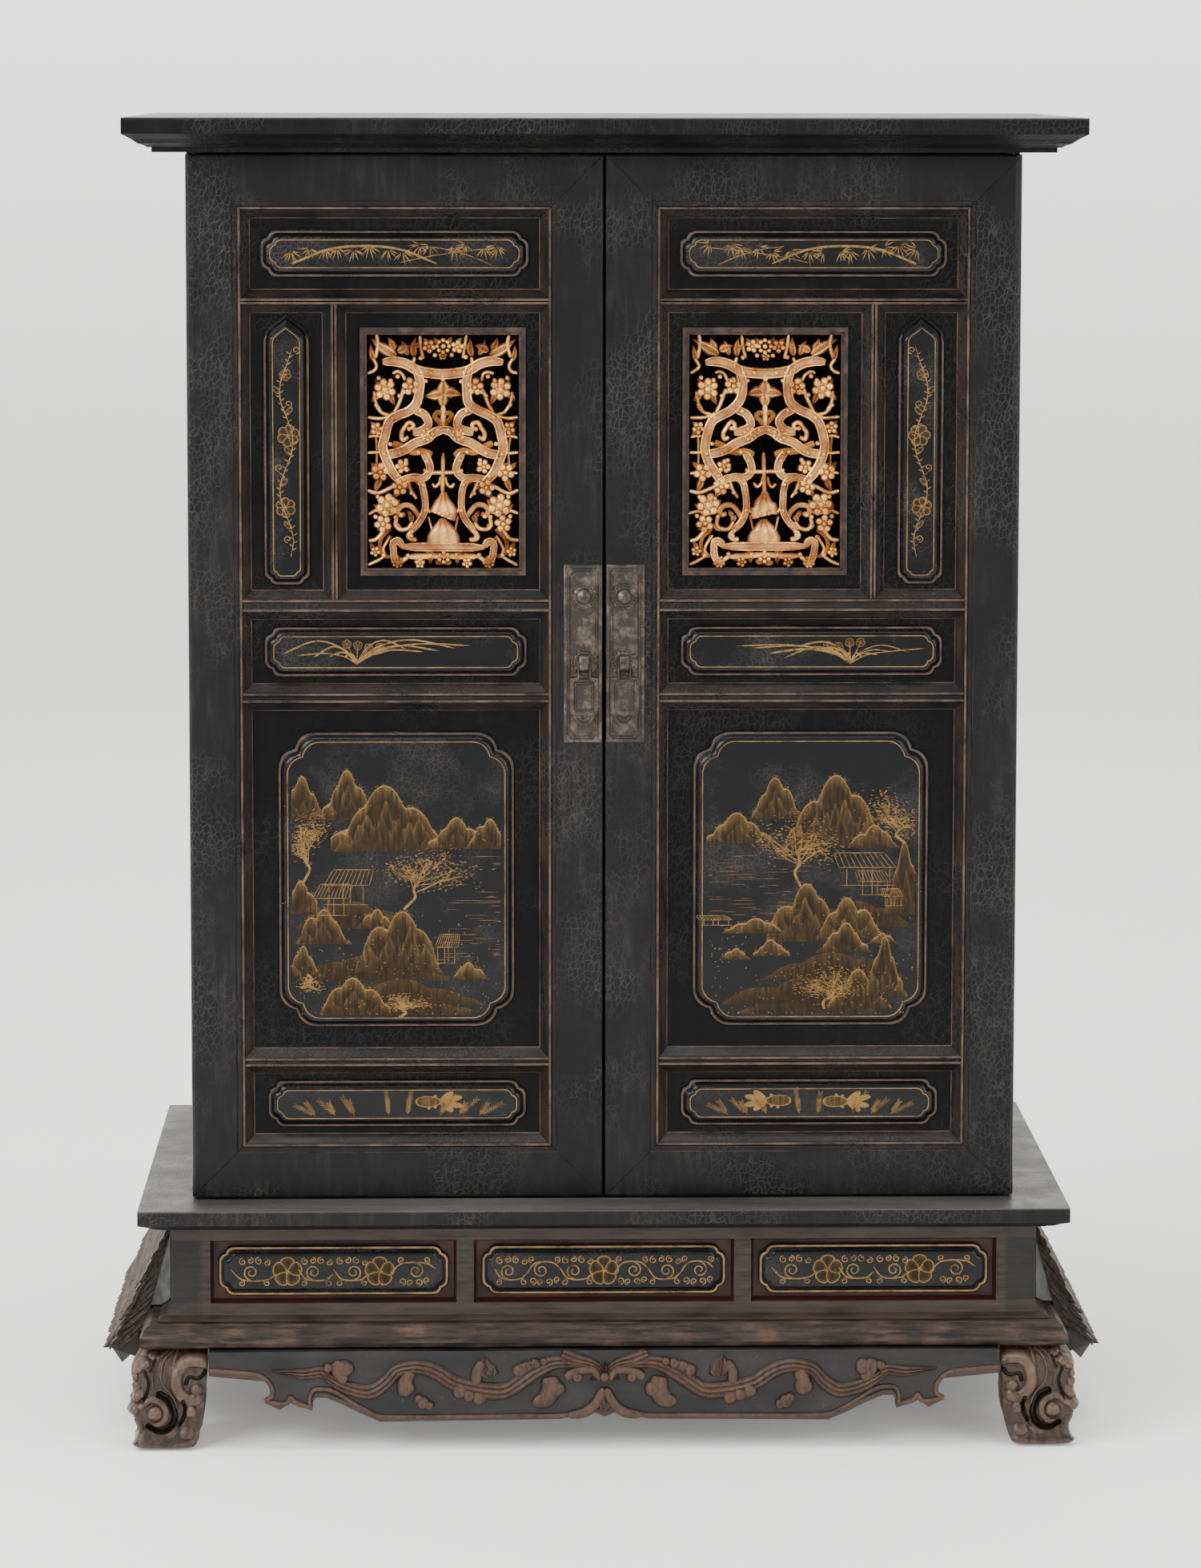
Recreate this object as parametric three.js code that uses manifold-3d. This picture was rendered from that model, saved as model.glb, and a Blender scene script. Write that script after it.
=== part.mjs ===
// Lacquered wood shrine: a two-door cabinet on a carved stand.
// Millimetres, +Z up. The front faces -Y and the origin is on the floor, in the middle of the feet.
import * as THREE from 'three';
import { mergeVertices } from 'three/addons/utils/BufferGeometryUtils.js';
import Module from 'manifold-3d';

const wasm = await Module();
wasm.setup();

// Fits that every joint shares
const clearance = 0.3; // gap between two pieces that touch
const overrun = 3; // how far a cut reaches past the face that it opens
const weldDistance = 1e-4; // corners closer than this are one corner
const arcSteps = 3; // straight steps in each small quarter round
const sharpestMitre = 0.35; // keeps the mitre of a sharp corner from running far out

// Door leaves: frame, rails and the openings between them, from the bottom up
const doorPairWidth = 680;
const doorGap = 2; // between the two meeting edges
const doorThickness = 22;
const doorRunningGap = 2; // above and below the leaves
const frameFace = 37; // flat face of the frame members
const frameMoulding = 15; // moulded edge between the flat face and the opening
const outerEdgeRadius = 6; // rounds the stile that turns on its pins
const innerEdgeRadius = 1.5;
const bottomOpening = 50;
const railDWidth = 22;
const largeOpening = 280;
const railCWidth = 23;
const middleOpening = 52;
const railBWidth = 25;
const pierceOpening = 226;
const railAWidth = 20;
const topOpening = 57;
const muntinWidth = 20;
const narrowOpening = 58; // width of the tall narrow opening beside the pierced one

// Moulded edge: a quirk, a hollow, a thin crest, then a slope down to the panel
const quirkWidth = 1;
const quirkDepth = 1.6;
const hollowEnd = 4.4;
const hollowDepth = 1.9;
const crestStart = 5.6;
const crestEnd = 7.2;
const crestDepth = 0.6;
const slopeStart = 8.4;
const slopeStartDepth = 2.2;

// Panels, which float in grooves of the frame
const panelFront = 10; // depth of the panel ground behind the door face
const panelThickness = 6;
const grooveDepth = 4;

// Raised cartouche on each panel: rise of its rim, shoulder and field above the ground
const rimWidth = 2.2;
const rimRise = 1.8;
const rimCrown = 2.4;
const shoulderInset = 4.4;
const shoulderRise = 4.6;
const fieldInset = 7.5;
const fieldRise = 5.6;
const cartoucheRoot = 1; // how far the cartouche is let into its ground

// Outlines of the cartouches: width and height, reach of the corner lobes, and depth of their cusp
const topCartouche = { width: 218, height: 38, lobe: 13, cusp: 6 };
const middleCartouche = { width: 215, height: 41, lobe: 13, cusp: 6 };
const largeCartouche = { width: 194, height: 245, lobe: 30, cusp: 14 };
const bottomCartouche = { width: 213, height: 39, lobe: 13, cusp: 6 };
const narrowCartouche = { width: 37.5, height: 218, lobe: 10, cusp: 4.5, arch: 20 };
const narrowCartoucheFoot = 7.5; // ground left under the narrow cartouche

// Pierced panel: its raised border and the window that holds the openwork
const borderWidth = 135;
const borderHeight = 203;
const windowWidth = 124;
const windowHeight = 191;
const borderRise = 2.5;
const openworkThickness = 7;
const openworkSink = 0.8; // the carving lies this far behind the border

// Door pins
const pivotInset = 11; // from the outer edge of the stile to the axis
const pivotRadius = 5;
const pivotLength = 9; // past the end of the stile
const pivotSides = 16;

// Door fittings: half plate, pull and the strap that holds it
const plateWidth = 31;
const plateHeight = 146;
const plateBase = 379; // above the foot of the leaf
const plateThickness = 1.2;
const plateEdge = 1; // from the meeting edge
const fittingInset = 15.5; // from the meeting edge to the middle of the studs
const studHeight = 499;
const studRadius = 6.5;
const studRise = 5;
const rosetteRadius = 11;
const rosetteRise = 1.4;
const rosetteCrown = 0.82; // share of the radius that is left at the top
const rosetteSides = 20;
const studCrown = 0.5;
const studSides = 16;
const bossShoulder = [0.94, 0.6]; // shares of radius and rise
const strikeHeight = 401;
const strikeRadius = 9;
const strikeRise = 1;
const pullPinHeight = 445; // axis on which the pull swings
const pullPinStandoff = 5.4; // from the door face to that axis
const pullPinRadius = 1.2;
const strapWidth = 7.6;
const strapTop = 6.4; // above the pin
const strapBottom = 8; // below the pin
const strapFront = 3.6; // in front of the pin
const strapWall = 1.5;
const pullNeckWidth = 11.2;
const pullNeckRim = 1.5;
const pullShoulder = 12.6; // below the pin
const pullLength = 43;
const pullWidth = 23;
const pullRim = 3.4;
const pullThickness = 2.4;
const pullWeb = 1.1; // thickness of the sunk middle

// Carcass
const cabinetDepth = 371; // from the face of the leaves to the back
const carcassGap = 3; // from the back of the leaves to the carcass
const sideThickness = 20;
const backThickness = 10;
const backInset = 5;
const boardGroove = 6;
const shelfThickness = 14;
const shelfHeight = 430; // above the stand top
const shelfSetback = 12;

// Cornice: slab, ogee and fillet, from the top down
const corniceOverhang = 48;
const corniceSlab = 13;
const corniceOgee = 11;
const corniceFillet = 4;
const corniceOgeeReach = 20;
const corniceFilletReach = 3;

// Stand top
const standSideLedge = 42.5; // of the stand top beside the cabinet
const standFrontLedge = 44; // in front of the leaves
const standBackLedge = 15; // behind the cabinet
const standTopSlab = 12;
const standTopOgee = 8;
const standTopOgeeReach = 20;

// Waist between the stand top and the base moulding
const waistInset = 25; // from the edge of the stand top
const waistHeight = 76;
const waistThickness = 18;
const waistCoveHeight = 13;
const waistCoveReach = 10;
const waistTopRail = 10;
const waistPocketDepth = 8;
const waistPocketSlope = 2.5;
const waistPost = 33;
const waistDivider = 14;
const waistDividerPlace = 114.5; // from the middle of the shrine
const waistFloorLedge = 13; // under the pockets
const waistCartoucheMargin = 6; // red ground left above and below a cartouche
const waistCartoucheSide = 7;
const waistLobe = 12;
const waistCusp = 5.5;
const waistCartoucheBack = 1.6; // thickness of the plate behind the rim

// Base moulding
const baseHeight = 20;
const baseShoulder = 9;

// Apron
const apronThickness = 15;
const apronDrop = 58.6;
const apronSetback = 6; // behind the front of the feet
const apronBead = 4; // width of the raised bead along its lower edge
const apronBeadRise = 1.6;
const apronSideDrop = 24; // of the straight aprons at the sides and back

// Feet
const footWidth = 68;
const footHeight = 83;
const footOverhang = 10.5; // past the base moulding

// Carved wings at the two ends of the stand
const wingGap = 14; // from the wing to each foot
const wingTopDrop = 7; // below the stand top's moulding
const wingDrop = 51; // below the top of the base moulding
const wingOverhang = 31.5; // past the base moulding
const wingThickness = 13;
const wingCourses = 4;
const wingStep = 4;

// Levels and planes worked out from the sizes above
const doorWidth = (doorPairWidth - doorGap) / 2;
const frameWidth = frameFace + frameMoulding;
const doorHeight = 2 * frameWidth + bottomOpening + railDWidth + largeOpening + railCWidth
  + middleOpening + railBWidth + pierceOpening + railAWidth + topOpening;
const openingWidth = doorWidth - 2 * frameWidth;
const pierceWidth = openingWidth - narrowOpening - muntinWidth;
const footTop = footHeight;
const baseTop = footTop + baseHeight;
const waistTop = baseTop + waistHeight;
const standTop = waistTop + standTopOgee + standTopSlab;
const doorFoot = standTop + doorRunningGap;
const corniceFoot = doorFoot + doorHeight + doorRunningGap;
const corniceTop = corniceFoot + corniceFillet + corniceOgee + corniceSlab;
const slopeEnd = panelFront - clearance;
const grooveBack = panelFront + panelThickness + clearance;
const crestMiddle = (crestStart + crestEnd) / 2;
const standTopWidth = doorPairWidth + 2 * standSideLedge;
const standTopDepth = cabinetDepth + standFrontLedge + standBackLedge;
const doorFront = -standTopDepth / 2 + standFrontLedge;
const carcassBack = doorFront + cabinetDepth;
const corniceWidth = doorPairWidth + 2 * corniceOverhang;
const corniceDepth = 2 * (corniceOverhang - doorFront);
const waistWidth = standTopWidth - 2 * waistInset;
const waistDepth = standTopDepth - 2 * waistInset;
const baseWidth = standTopWidth;
const baseDepth = standTopDepth;
const footSpread = baseWidth / 2 + footOverhang;
const footDepthSpread = baseDepth / 2 + footOverhang;
const wingTop = waistTop - wingTopDrop;
const wingBottom = baseTop - wingDrop;
const wingReach = baseWidth / 2 + wingOverhang;
const doorAxisDepth = doorFront + doorThickness / 2;
const carcassFront = doorFront + doorThickness + carcassGap;

// Finishes
const finishes = {
  lacquer: { color: 0x1b1a19, roughness: 0.38, metalness: 0 },
  wornLacquer: { color: 0x2e2621, roughness: 0.55, metalness: 0 },
  redLacquer: { color: 0x4a1512, roughness: 0.45, metalness: 0 },
  gilding: { color: 0xb98a48, roughness: 0.42, metalness: 0.8 },
  carvedWood: { color: 0x4b372d, roughness: 0.6, metalness: 0 },
  greyedWood: { color: 0x6f655c, roughness: 0.8, metalness: 0 },
  bronze: { color: 0x3a3630, roughness: 0.5, metalness: 0.9 },
};

function finish(name) {
  return new THREE.MeshStandardMaterial(finishes[name]);
}

// Closed geometry to a solid for cutting and joining, and back
function solid(geometry) {
  const bare = geometry.index ? geometry.toNonIndexed() : geometry.clone();
  bare.deleteAttribute('normal');
  bare.deleteAttribute('uv');
  const merged = mergeVertices(bare, weldDistance);
  return new wasm.Manifold(new wasm.Mesh({
    numProp: 3,
    vertProperties: new Float32Array(merged.attributes.position.array),
    triVerts: new Uint32Array(merged.index.array),
  }));
}

function geometryOf(body) {
  const mesh = body.getMesh();
  const geometry = new THREE.BufferGeometry();
  geometry.setAttribute('position', new THREE.BufferAttribute(new Float32Array(mesh.vertProperties), 3));
  geometry.setIndex(new THREE.BufferAttribute(new Uint32Array(mesh.triVerts), 1));
  geometry.computeVertexNormals();
  return geometry;
}

// A straight prism of an outline: along Z from (x, y), along X from (y, z), along Y from (x, z)
function shapeOf(points) {
  return new THREE.Shape(points.map(([a, b]) => new THREE.Vector2(a, b)));
}

function extruded(shape, length, curveSegments = 12) {
  return new THREE.ExtrudeGeometry(shape, { depth: length, bevelEnabled: false, curveSegments });
}

function prismZ(points, z0, z1) {
  return solid(extruded(shapeOf(points), z1 - z0).translate(0, 0, z0));
}

function prismX(points, x0, x1) {
  const turn = new THREE.Matrix4().set(0, 0, 1, 0, 1, 0, 0, 0, 0, 1, 0, 0, 0, 0, 0, 1);
  return solid(extruded(shapeOf(points), x1 - x0).applyMatrix4(turn).translate(x0, 0, 0));
}

function prismY(points, y0, y1) {
  const turned = extruded(shapeOf(points), y1 - y0).rotateX(Math.PI / 2);
  return solid(turned.translate(0, y1, 0));
}

function block(x0, x1, y0, y1, z0, z1) {
  const geometry = new THREE.BoxGeometry(x1 - x0, y1 - y0, z1 - z0);
  return solid(geometry.translate((x0 + x1) / 2, (y0 + y1) / 2, (z0 + z1) / 2));
}

function rod(radius, length, sides, axis) {
  const geometry = new THREE.CylinderGeometry(radius, radius, length, sides);
  if (axis === 'x') geometry.rotateZ(Math.PI / 2);
  if (axis === 'z') geometry.rotateX(Math.PI / 2);
  return geometry;
}

// Outline moved outwards by a distance, or inwards by a negative one, with mitred corners
function grown(points, distance) {
  const area = THREE.ShapeUtils.area(points.map(([a, b]) => new THREE.Vector2(a, b)));
  const side = area > 0 ? 1 : -1;
  return points.map((point, i) => {
    const before = points[(i + points.length - 1) % points.length];
    const after = points[(i + 1) % points.length];
    const n1 = edgeNormal(before, point, side);
    const n2 = edgeNormal(point, after, side);
    const reach = distance / Math.max(1 + n1[0] * n2[0] + n1[1] * n2[1], sharpestMitre);
    return [point[0] + (n1[0] + n2[0]) * reach, point[1] + (n1[1] + n2[1]) * reach];
  });
}

function edgeNormal(from, to, side) {
  const run = to[0] - from[0];
  const rise = to[1] - from[1];
  const length = Math.hypot(run, rise);
  return [(rise / length) * side, (-run / length) * side];
}

// Quarter round of an outline about a centre, from one angle to another
function arc(centreA, centreB, radius, fromDegrees, toDegrees, steps = arcSteps) {
  const points = [];
  for (let i = 0; i <= steps; i += 1) {
    const angle = THREE.MathUtils.degToRad(fromDegrees + ((toDegrees - fromDegrees) * i) / steps);
    points.push([centreA + radius * Math.cos(angle), centreB + radius * Math.sin(angle)]);
  }
  return points;
}

// Closed skin over a stack of outlines that have the same number of points
function lofted(rings) {
  const count = rings[0].length;
  const positions = rings.flat(2);
  const index = [];
  for (let r = 0; r + 1 < rings.length; r += 1) {
    for (let i = 0; i < count; i += 1) {
      const a = r * count + i;
      const b = r * count + ((i + 1) % count);
      index.push(a, b, a + count, b, b + count, a + count);
    }
  }
  addCap(index, rings[0], 0, true);
  addCap(index, rings[rings.length - 1], (rings.length - 1) * count, false);
  if (signedVolume(positions, index) < 0) index.reverse();
  const geometry = new THREE.BufferGeometry();
  geometry.setAttribute('position', new THREE.Float32BufferAttribute(positions, 3));
  geometry.setIndex(index);
  return geometry;
}

// Flat cap of a ring, seen in the plane in which the ring is widest
function addCap(index, ring, offset, backwards) {
  const spread = [0, 1, 2].map((k) => Math.max(...ring.map((p) => p[k])) - Math.min(...ring.map((p) => p[k])));
  const thin = spread.indexOf(Math.min(...spread));
  const [u, v] = [0, 1, 2].filter((k) => k !== thin);
  const flat = ring.map((p) => new THREE.Vector2(p[u], p[v]));
  const triangles = THREE.ShapeUtils.triangulateShape(flat, []);
  const turn = triangles.reduce((sum, corners) => sum + THREE.ShapeUtils.area(corners.map((i) => flat[i])), 0);
  const withRing = (turn > 0) === (THREE.ShapeUtils.area(flat) > 0);
  for (const [a, b, c] of triangles) {
    if (withRing === backwards) index.push(offset + a, offset + c, offset + b);
    else index.push(offset + a, offset + b, offset + c);
  }
}

function signedVolume(positions, index) {
  const corner = (i) => new THREE.Vector3().fromArray(positions, index[i] * 3);
  let volume = 0;
  for (let i = 0; i < index.length; i += 3) {
    volume += corner(i).dot(corner(i + 1).cross(corner(i + 2)));
  }
  return volume;
}

// Board with a moulded edge: half sizes drawn in by a reach at each level
function mouldedBoard(width, depth, levels) {
  return solid(lofted(levels.map(([reach, z]) => {
    const x = width / 2 - reach;
    const y = depth / 2 - reach;
    return [[-x, -y, z], [x, -y, z], [x, y, z], [-x, y, z]];
  })));
}

// Names, groups and mirrored copies
const shrine = new THREE.Group();

function addPiece(group, name, body, finishName) {
  const mesh = new THREE.Mesh(body.isBufferGeometry ? body : geometryOf(body), finish(finishName));
  mesh.name = name;
  group.add(mesh);
  return mesh;
}

function mirrored(geometry) {
  const copy = geometry.clone().scale(-1, 1, 1);
  const index = copy.index.array;
  for (let i = 0; i < index.length; i += 3) {
    [index[i], index[i + 1]] = [index[i + 1], index[i]];
  }
  copy.computeVertexNormals();
  return copy;
}

// Frame member section: (0, 0) is its outer edge at the front, and the opening is at frameWidth
function frameOutline(edgeRadius) {
  return [
    ...arc(edgeRadius, edgeRadius, edgeRadius, 180, 270),
    [frameFace, 0],
    [frameFace + quirkWidth, quirkDepth],
    [frameFace + hollowEnd, hollowDepth],
    [frameFace + crestStart, crestDepth],
    [frameFace + crestEnd, crestDepth],
    [frameFace + slopeStart, slopeStartDepth],
    [frameWidth, slopeEnd],
    [frameWidth - grooveDepth, slopeEnd],
    [frameWidth - grooveDepth, grooveBack],
    [frameWidth, grooveBack],
    [frameWidth, doorThickness],
    ...arc(edgeRadius, doorThickness - edgeRadius, edgeRadius, 90, 180),
  ];
}

// Rail section about its middle line: two crests with a hollow between them, and a groove on each side
function railOutline(width) {
  const half = width / 2;
  const hollow = Math.max(half - (frameMoulding - hollowEnd), 0);
  const upper = [
    [half - (frameMoulding - crestStart), crestDepth],
    [half - (frameMoulding - crestEnd), crestDepth],
    [half - (frameMoulding - slopeStart), slopeStartDepth],
    [half, slopeEnd],
    [half - grooveDepth, slopeEnd],
    [half - grooveDepth, grooveBack],
    [half, grooveBack],
    [half, doorThickness],
  ];
  const lower = upper.map(([a, b]) => [-a, b]).reverse();
  const middle = hollow > 0 ? [[-hollow, hollowDepth], [hollow, hollowDepth]] : [[0, hollowDepth]];
  return [...middle, ...upper, ...lower];
}

const swapped = (points) => points.map(([a, b]) => [b, a]);
const raised = (points, z) => points.map(([a, b]) => [a, b + z]);
const shifted = (points, x) => points.map(([a, b]) => [a + x, b]);

// Mitred corner of the door frame, in the front layer only: the rail's share, seen from the front
function mitreCut(forRail, atTop) {
  const play = (clearance * Math.SQRT2) / 2;
  const far = frameWidth + overrun;
  const points = forRail
    ? [[-overrun, -overrun - play], [far, far - play], [-overrun, far - play]]
    : [[-overrun, -overrun + play], [far, far + play], [far, -overrun + play]];
  const placed = atTop ? points.map(([a, b]) => [a, doorHeight - b]) : points;
  const depth = forRail ? slopeEnd : slopeEnd + clearance;
  return prismY(placed, -overrun, depth);
}

// Acts on a door solid as seen from its other edge
function acrossDoor(body) {
  return solid(mirrored(geometryOf(body)).translate(doorWidth, 0, 0));
}

function outerStile() {
  let body = prismZ(frameOutline(outerEdgeRadius), 0, doorHeight);
  body = body.subtract(mitreCut(false, true)).subtract(mitreCut(false, false));
  const length = doorHeight + 2 * pivotLength;
  const pin = rod(pivotRadius, length, pivotSides, 'z').translate(pivotInset, doorThickness / 2, doorHeight / 2);
  return body.add(solid(pin));
}

function innerStile() {
  const body = prismZ(frameOutline(innerEdgeRadius), 0, doorHeight);
  return acrossDoor(body.subtract(mitreCut(false, true)).subtract(mitreCut(false, false)));
}

// Both stiles as they cut the ends of a rail; the front layer of a mitred corner is left out
function stileCutters(edgeRadius, behindOnly) {
  const z0 = -overrun;
  const z1 = doorHeight + overrun;
  const cutter = prismZ(grown(frameOutline(edgeRadius), clearance), z0, z1);
  if (!behindOnly) return cutter;
  const toEdge = block(-overrun, frameFace, slopeEnd, doorThickness + overrun, z0, z1);
  const frontLayer = block(-overrun, frameWidth + overrun, -overrun, slopeEnd, z0 - overrun, z1 + overrun);
  return cutter.add(toEdge).subtract(frontLayer);
}

// Leaf without its openings, with both upright edges rounded
function doorBlank() {
  const outer = outerEdgeRadius;
  const inner = innerEdgeRadius;
  return prismZ([
    ...arc(outer, outer, outer, 180, 270),
    ...arc(doorWidth - inner, inner, inner, 270, 360),
    ...arc(doorWidth - inner, doorThickness - inner, inner, 0, 90),
    ...arc(outer, doorThickness - outer, outer, 90, 180),
  ], -overrun, doorHeight + overrun);
}

function frameRail(atTop) {
  const outline = swapped(frameOutline(innerEdgeRadius));
  const placed = atTop ? outline.map(([a, b]) => [a, doorHeight - b]) : outline;
  const pinRoom = rod(pivotRadius + clearance, 3 * doorHeight, pivotSides, 'z');
  return prismX(placed, -overrun, doorWidth + overrun)
    .intersect(doorBlank())
    .subtract(stileCutters(outerEdgeRadius, true))
    .subtract(acrossDoor(stileCutters(innerEdgeRadius, true)))
    .subtract(mitreCut(true, atTop))
    .subtract(acrossDoor(mitreCut(true, atTop)))
    .subtract(solid(pinRoom.translate(pivotInset, doorThickness / 2, 0)));
}

function middleRail(width, centre) {
  const start = frameFace + crestMiddle;
  return prismX(raised(swapped(railOutline(width)), centre), start, doorWidth - start)
    .subtract(stileCutters(outerEdgeRadius, false))
    .subtract(acrossDoor(stileCutters(innerEdgeRadius, false)));
}

function muntin(centre, below, above) {
  const drop = frameMoulding - crestMiddle;
  const lower = grown(raised(swapped(railOutline(below.width)), below.centre), clearance);
  const upper = grown(raised(swapped(railOutline(above.width)), above.centre), clearance);
  const z0 = below.centre + below.width / 2 - drop;
  const z1 = above.centre - above.width / 2 + drop;
  return prismZ(shifted(railOutline(muntinWidth), centre), z0, z1)
    .subtract(prismX(lower, -overrun, doorWidth + overrun))
    .subtract(prismX(upper, -overrun, doorWidth + overrun));
}

// Corner of two round lobes that meet in an inward cusp, drawn for the upper right corner
function lobedCorner(x, z, lobe, cusp, turn) {
  const radius = ((lobe - cusp) ** 2 + cusp ** 2) / (2 * cusp);
  const sweep = THREE.MathUtils.radToDeg(Math.atan2(lobe - cusp, radius - cusp));
  const first = arc(-lobe, -radius, radius, 90, 90 - sweep);
  const second = first.map(([a, b]) => [b, a]).reverse().slice(1);
  const corner = [...first, ...second];
  const [sx, sz] = turn;
  const placed = corner.map(([a, b]) => [sx * (x + a), sz * (z + b)]);
  return sx * sz > 0 ? placed : placed.reverse();
}

// Lobes shrink as an outline is drawn in, by this share of the inset
const lobeShrinkShare = 0.45;

// Oblong cartouche outline, clockwise from its upper right corner, drawn in by an inset
function cartoucheOutline(sizes, inset) {
  const x = sizes.width / 2 - inset;
  const z = sizes.height / 2 - inset;
  const lobe = sizes.lobe - lobeShrinkShare * inset;
  const cusp = (sizes.cusp * lobe) / sizes.lobe;
  return [
    ...lobedCorner(x, z, lobe, cusp, [1, 1]),
    ...lobedCorner(x, z, lobe, cusp, [1, -1]),
    ...lobedCorner(x, z, lobe, cusp, [-1, -1]),
    ...lobedCorner(x, z, lobe, cusp, [-1, 1]),
  ];
}

// Tall cartouche with a pointed arch, in shares of the arch's height and of the half width
const archShares = [[1, 0], [0.96, 0.18], [0.78, 0.42], [0.42, 0.68], [0.16, 0.86]];

function archedOutline(sizes, inset) {
  const x = sizes.width / 2 - inset;
  const z = sizes.height / 2 - inset;
  const lobe = sizes.lobe - lobeShrinkShare * inset;
  const cusp = (sizes.cusp * lobe) / sizes.lobe;
  const arch = (sizes.arch * x) / (sizes.width / 2);
  const right = archShares.map(([a, b]) => [a * x, z - arch + b * arch]).reverse();
  const left = archShares.map(([a, b]) => [-a * x, z - arch + b * arch]);
  return [
    [0, z],
    ...right,
    ...lobedCorner(x, z, lobe, cusp, [1, -1]),
    ...lobedCorner(x, z, lobe, cusp, [-1, -1]),
    ...left,
  ];
}

// Raised cartouche: rings of its outline drawn in and brought forward from the ground
function cartouche(outlineAt, x, ground, z, root) {
  const rings = [
    [0, -root],
    [0, rimRise],
    [rimWidth, rimCrown],
    [shoulderInset, shoulderRise],
    [fieldInset, fieldRise],
  ];
  return lofted(rings.map(([inset, rise]) => outlineAt(inset).map(([a, b]) => [a + x, ground - rise, b + z])));
}

// Panel board that enters the grooves round its opening
function panelBoard(x0, x1, z0, z1) {
  const enter = grooveDepth - clearance;
  return block(x0 - enter, x1 + enter, panelFront, panelFront + panelThickness, z0 - enter, z1 + enter);
}

function cartouchePanel(outlineAt, x0, x1, z0, z1, lift) {
  const raisedField = cartouche(outlineAt, (x0 + x1) / 2, panelFront, (z0 + z1) / 2 + lift, cartoucheRoot);
  return panelBoard(x0, x1, z0, z1).add(solid(raisedField));
}

// Openwork: places and bends are shares of the window's half width and height, widths are real sizes
const stemWidth = 5.2;
const tendrilWidth = 3.6;
const blossomRadius = 9.5;
const budRadius = 6.2;
const petalDepth = 0.22;
const blossomSteps = 8;
const budSteps = 6;
const scrollShares = [
  { width: 'stem', points: [[-0.05, 0.71], [0.30, 0.72], [0.54, 0.80], [0.80, 0.80], [1.02, 0.70]] },
  { width: 'stem', points: [[0.32, 0.72], [0.38, 0.52], [0.31, 0.36], [0.56, 0.33], [0.80, 0.14], [0.83, -0.08],
    [0.50, -0.27]] },
  { width: 'stem', points: [[0.60, -0.24], [0.28, -0.22], [0.24, -0.38], [0.38, -0.60], [0.64, -0.64],
    [0.70, -0.50], [0.48, -0.46]] },
  { width: 'stem', points: [[-0.05, 0.17], [0.30, 0.10], [0.48, -0.04], [0.30, -0.22]] },
  { width: 'tendril', points: [[0.50, 0.34], [0.36, 0.20], [0.34, 0.06], [0.62, 0.04], [0.84, 0.08]] },
  { width: 'tendril', points: [[0.72, 0.82], [0.56, 0.66], [0.68, 0.52], [0.84, 0.48], [0.84, 0.12]] },
  { width: 'tendril', points: [[0.34, 0.52], [0.56, 0.46], [0.72, 0.58]] },
  { width: 'tendril', points: [[1.02, 0.27], [0.84, 0.28], [0.68, 0.24]] },
  { width: 'tendril', points: [[0.70, -0.16], [0.88, -0.20], [1.02, -0.14]] },
  { width: 'tendril', points: [[0.72, -0.18], [0.84, -0.40], [0.68, -0.52]] },
  { width: 'tendril', points: [[0.62, -0.66], [0.82, -0.72], [1.02, -1.02]] },
  { width: 'tendril', points: [[0.34, -0.52], [0.14, -0.43], [-0.05, -0.42]] },
  { width: 'stem', points: [[-0.05, -0.80], [0.30, -0.80], [0.56, -0.82], [0.56, -1.02]] },
  { width: 'tendril', points: [[-0.05, -0.94], [0.28, -0.93], [0.46, -0.84]] },
  { width: 'tendril', points: [[0.48, 0.79], [0.52, 0.90], [0.44, 1.02]] },
];
const spineShares = [0.10, 1.02]; // short rib that carries the blossoms on the middle line
const blossomShares = [[0, 0.90], [0, 0.48], [0.84, 0.56], [0.86, -0.40]];
const budShares = [[0.50, 0.90], [0.96, 0.96], [0.94, 0.20], [0.86, -0.72], [0.30, -0.94]];
const staffShares = [-0.44, 0.06];
const bellShares = [[0.05, -0.36], [0.30, -0.60], [0.02, -0.60]];
const moundShares = [[0.04, -0.62], [0.24, -0.72], [0.32, -0.82], [0, -0.82]];

// Outline of a bent stem of constant width: both sides of a smooth curve through its points
function stemOutline(points, width, steps) {
  const curve = new THREE.CatmullRomCurve3(points.map(([a, b]) => new THREE.Vector3(a, b, 0)));
  const sides = [[], []];
  for (let i = 0; i <= steps; i += 1) {
    const at = curve.getPoint(i / steps);
    const along = curve.getTangent(i / steps);
    sides[0].push([at.x - (along.y * width) / 2, at.y + (along.x * width) / 2]);
    sides[1].push([at.x + (along.y * width) / 2, at.y - (along.x * width) / 2]);
  }
  return [...sides[0], ...sides[1].reverse()];
}

// Round flower outline with a number of petals
function flowerOutline(x, z, radius, petals, steps) {
  const points = [];
  for (let i = 0; i < steps; i += 1) {
    const angle = (2 * Math.PI * i) / steps;
    const reach = radius * (1 - petalDepth * (0.5 - 0.5 * Math.cos(petals * angle)));
    points.push([x + reach * Math.sin(angle), z + reach * Math.cos(angle)]);
  }
  return points;
}

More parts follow.
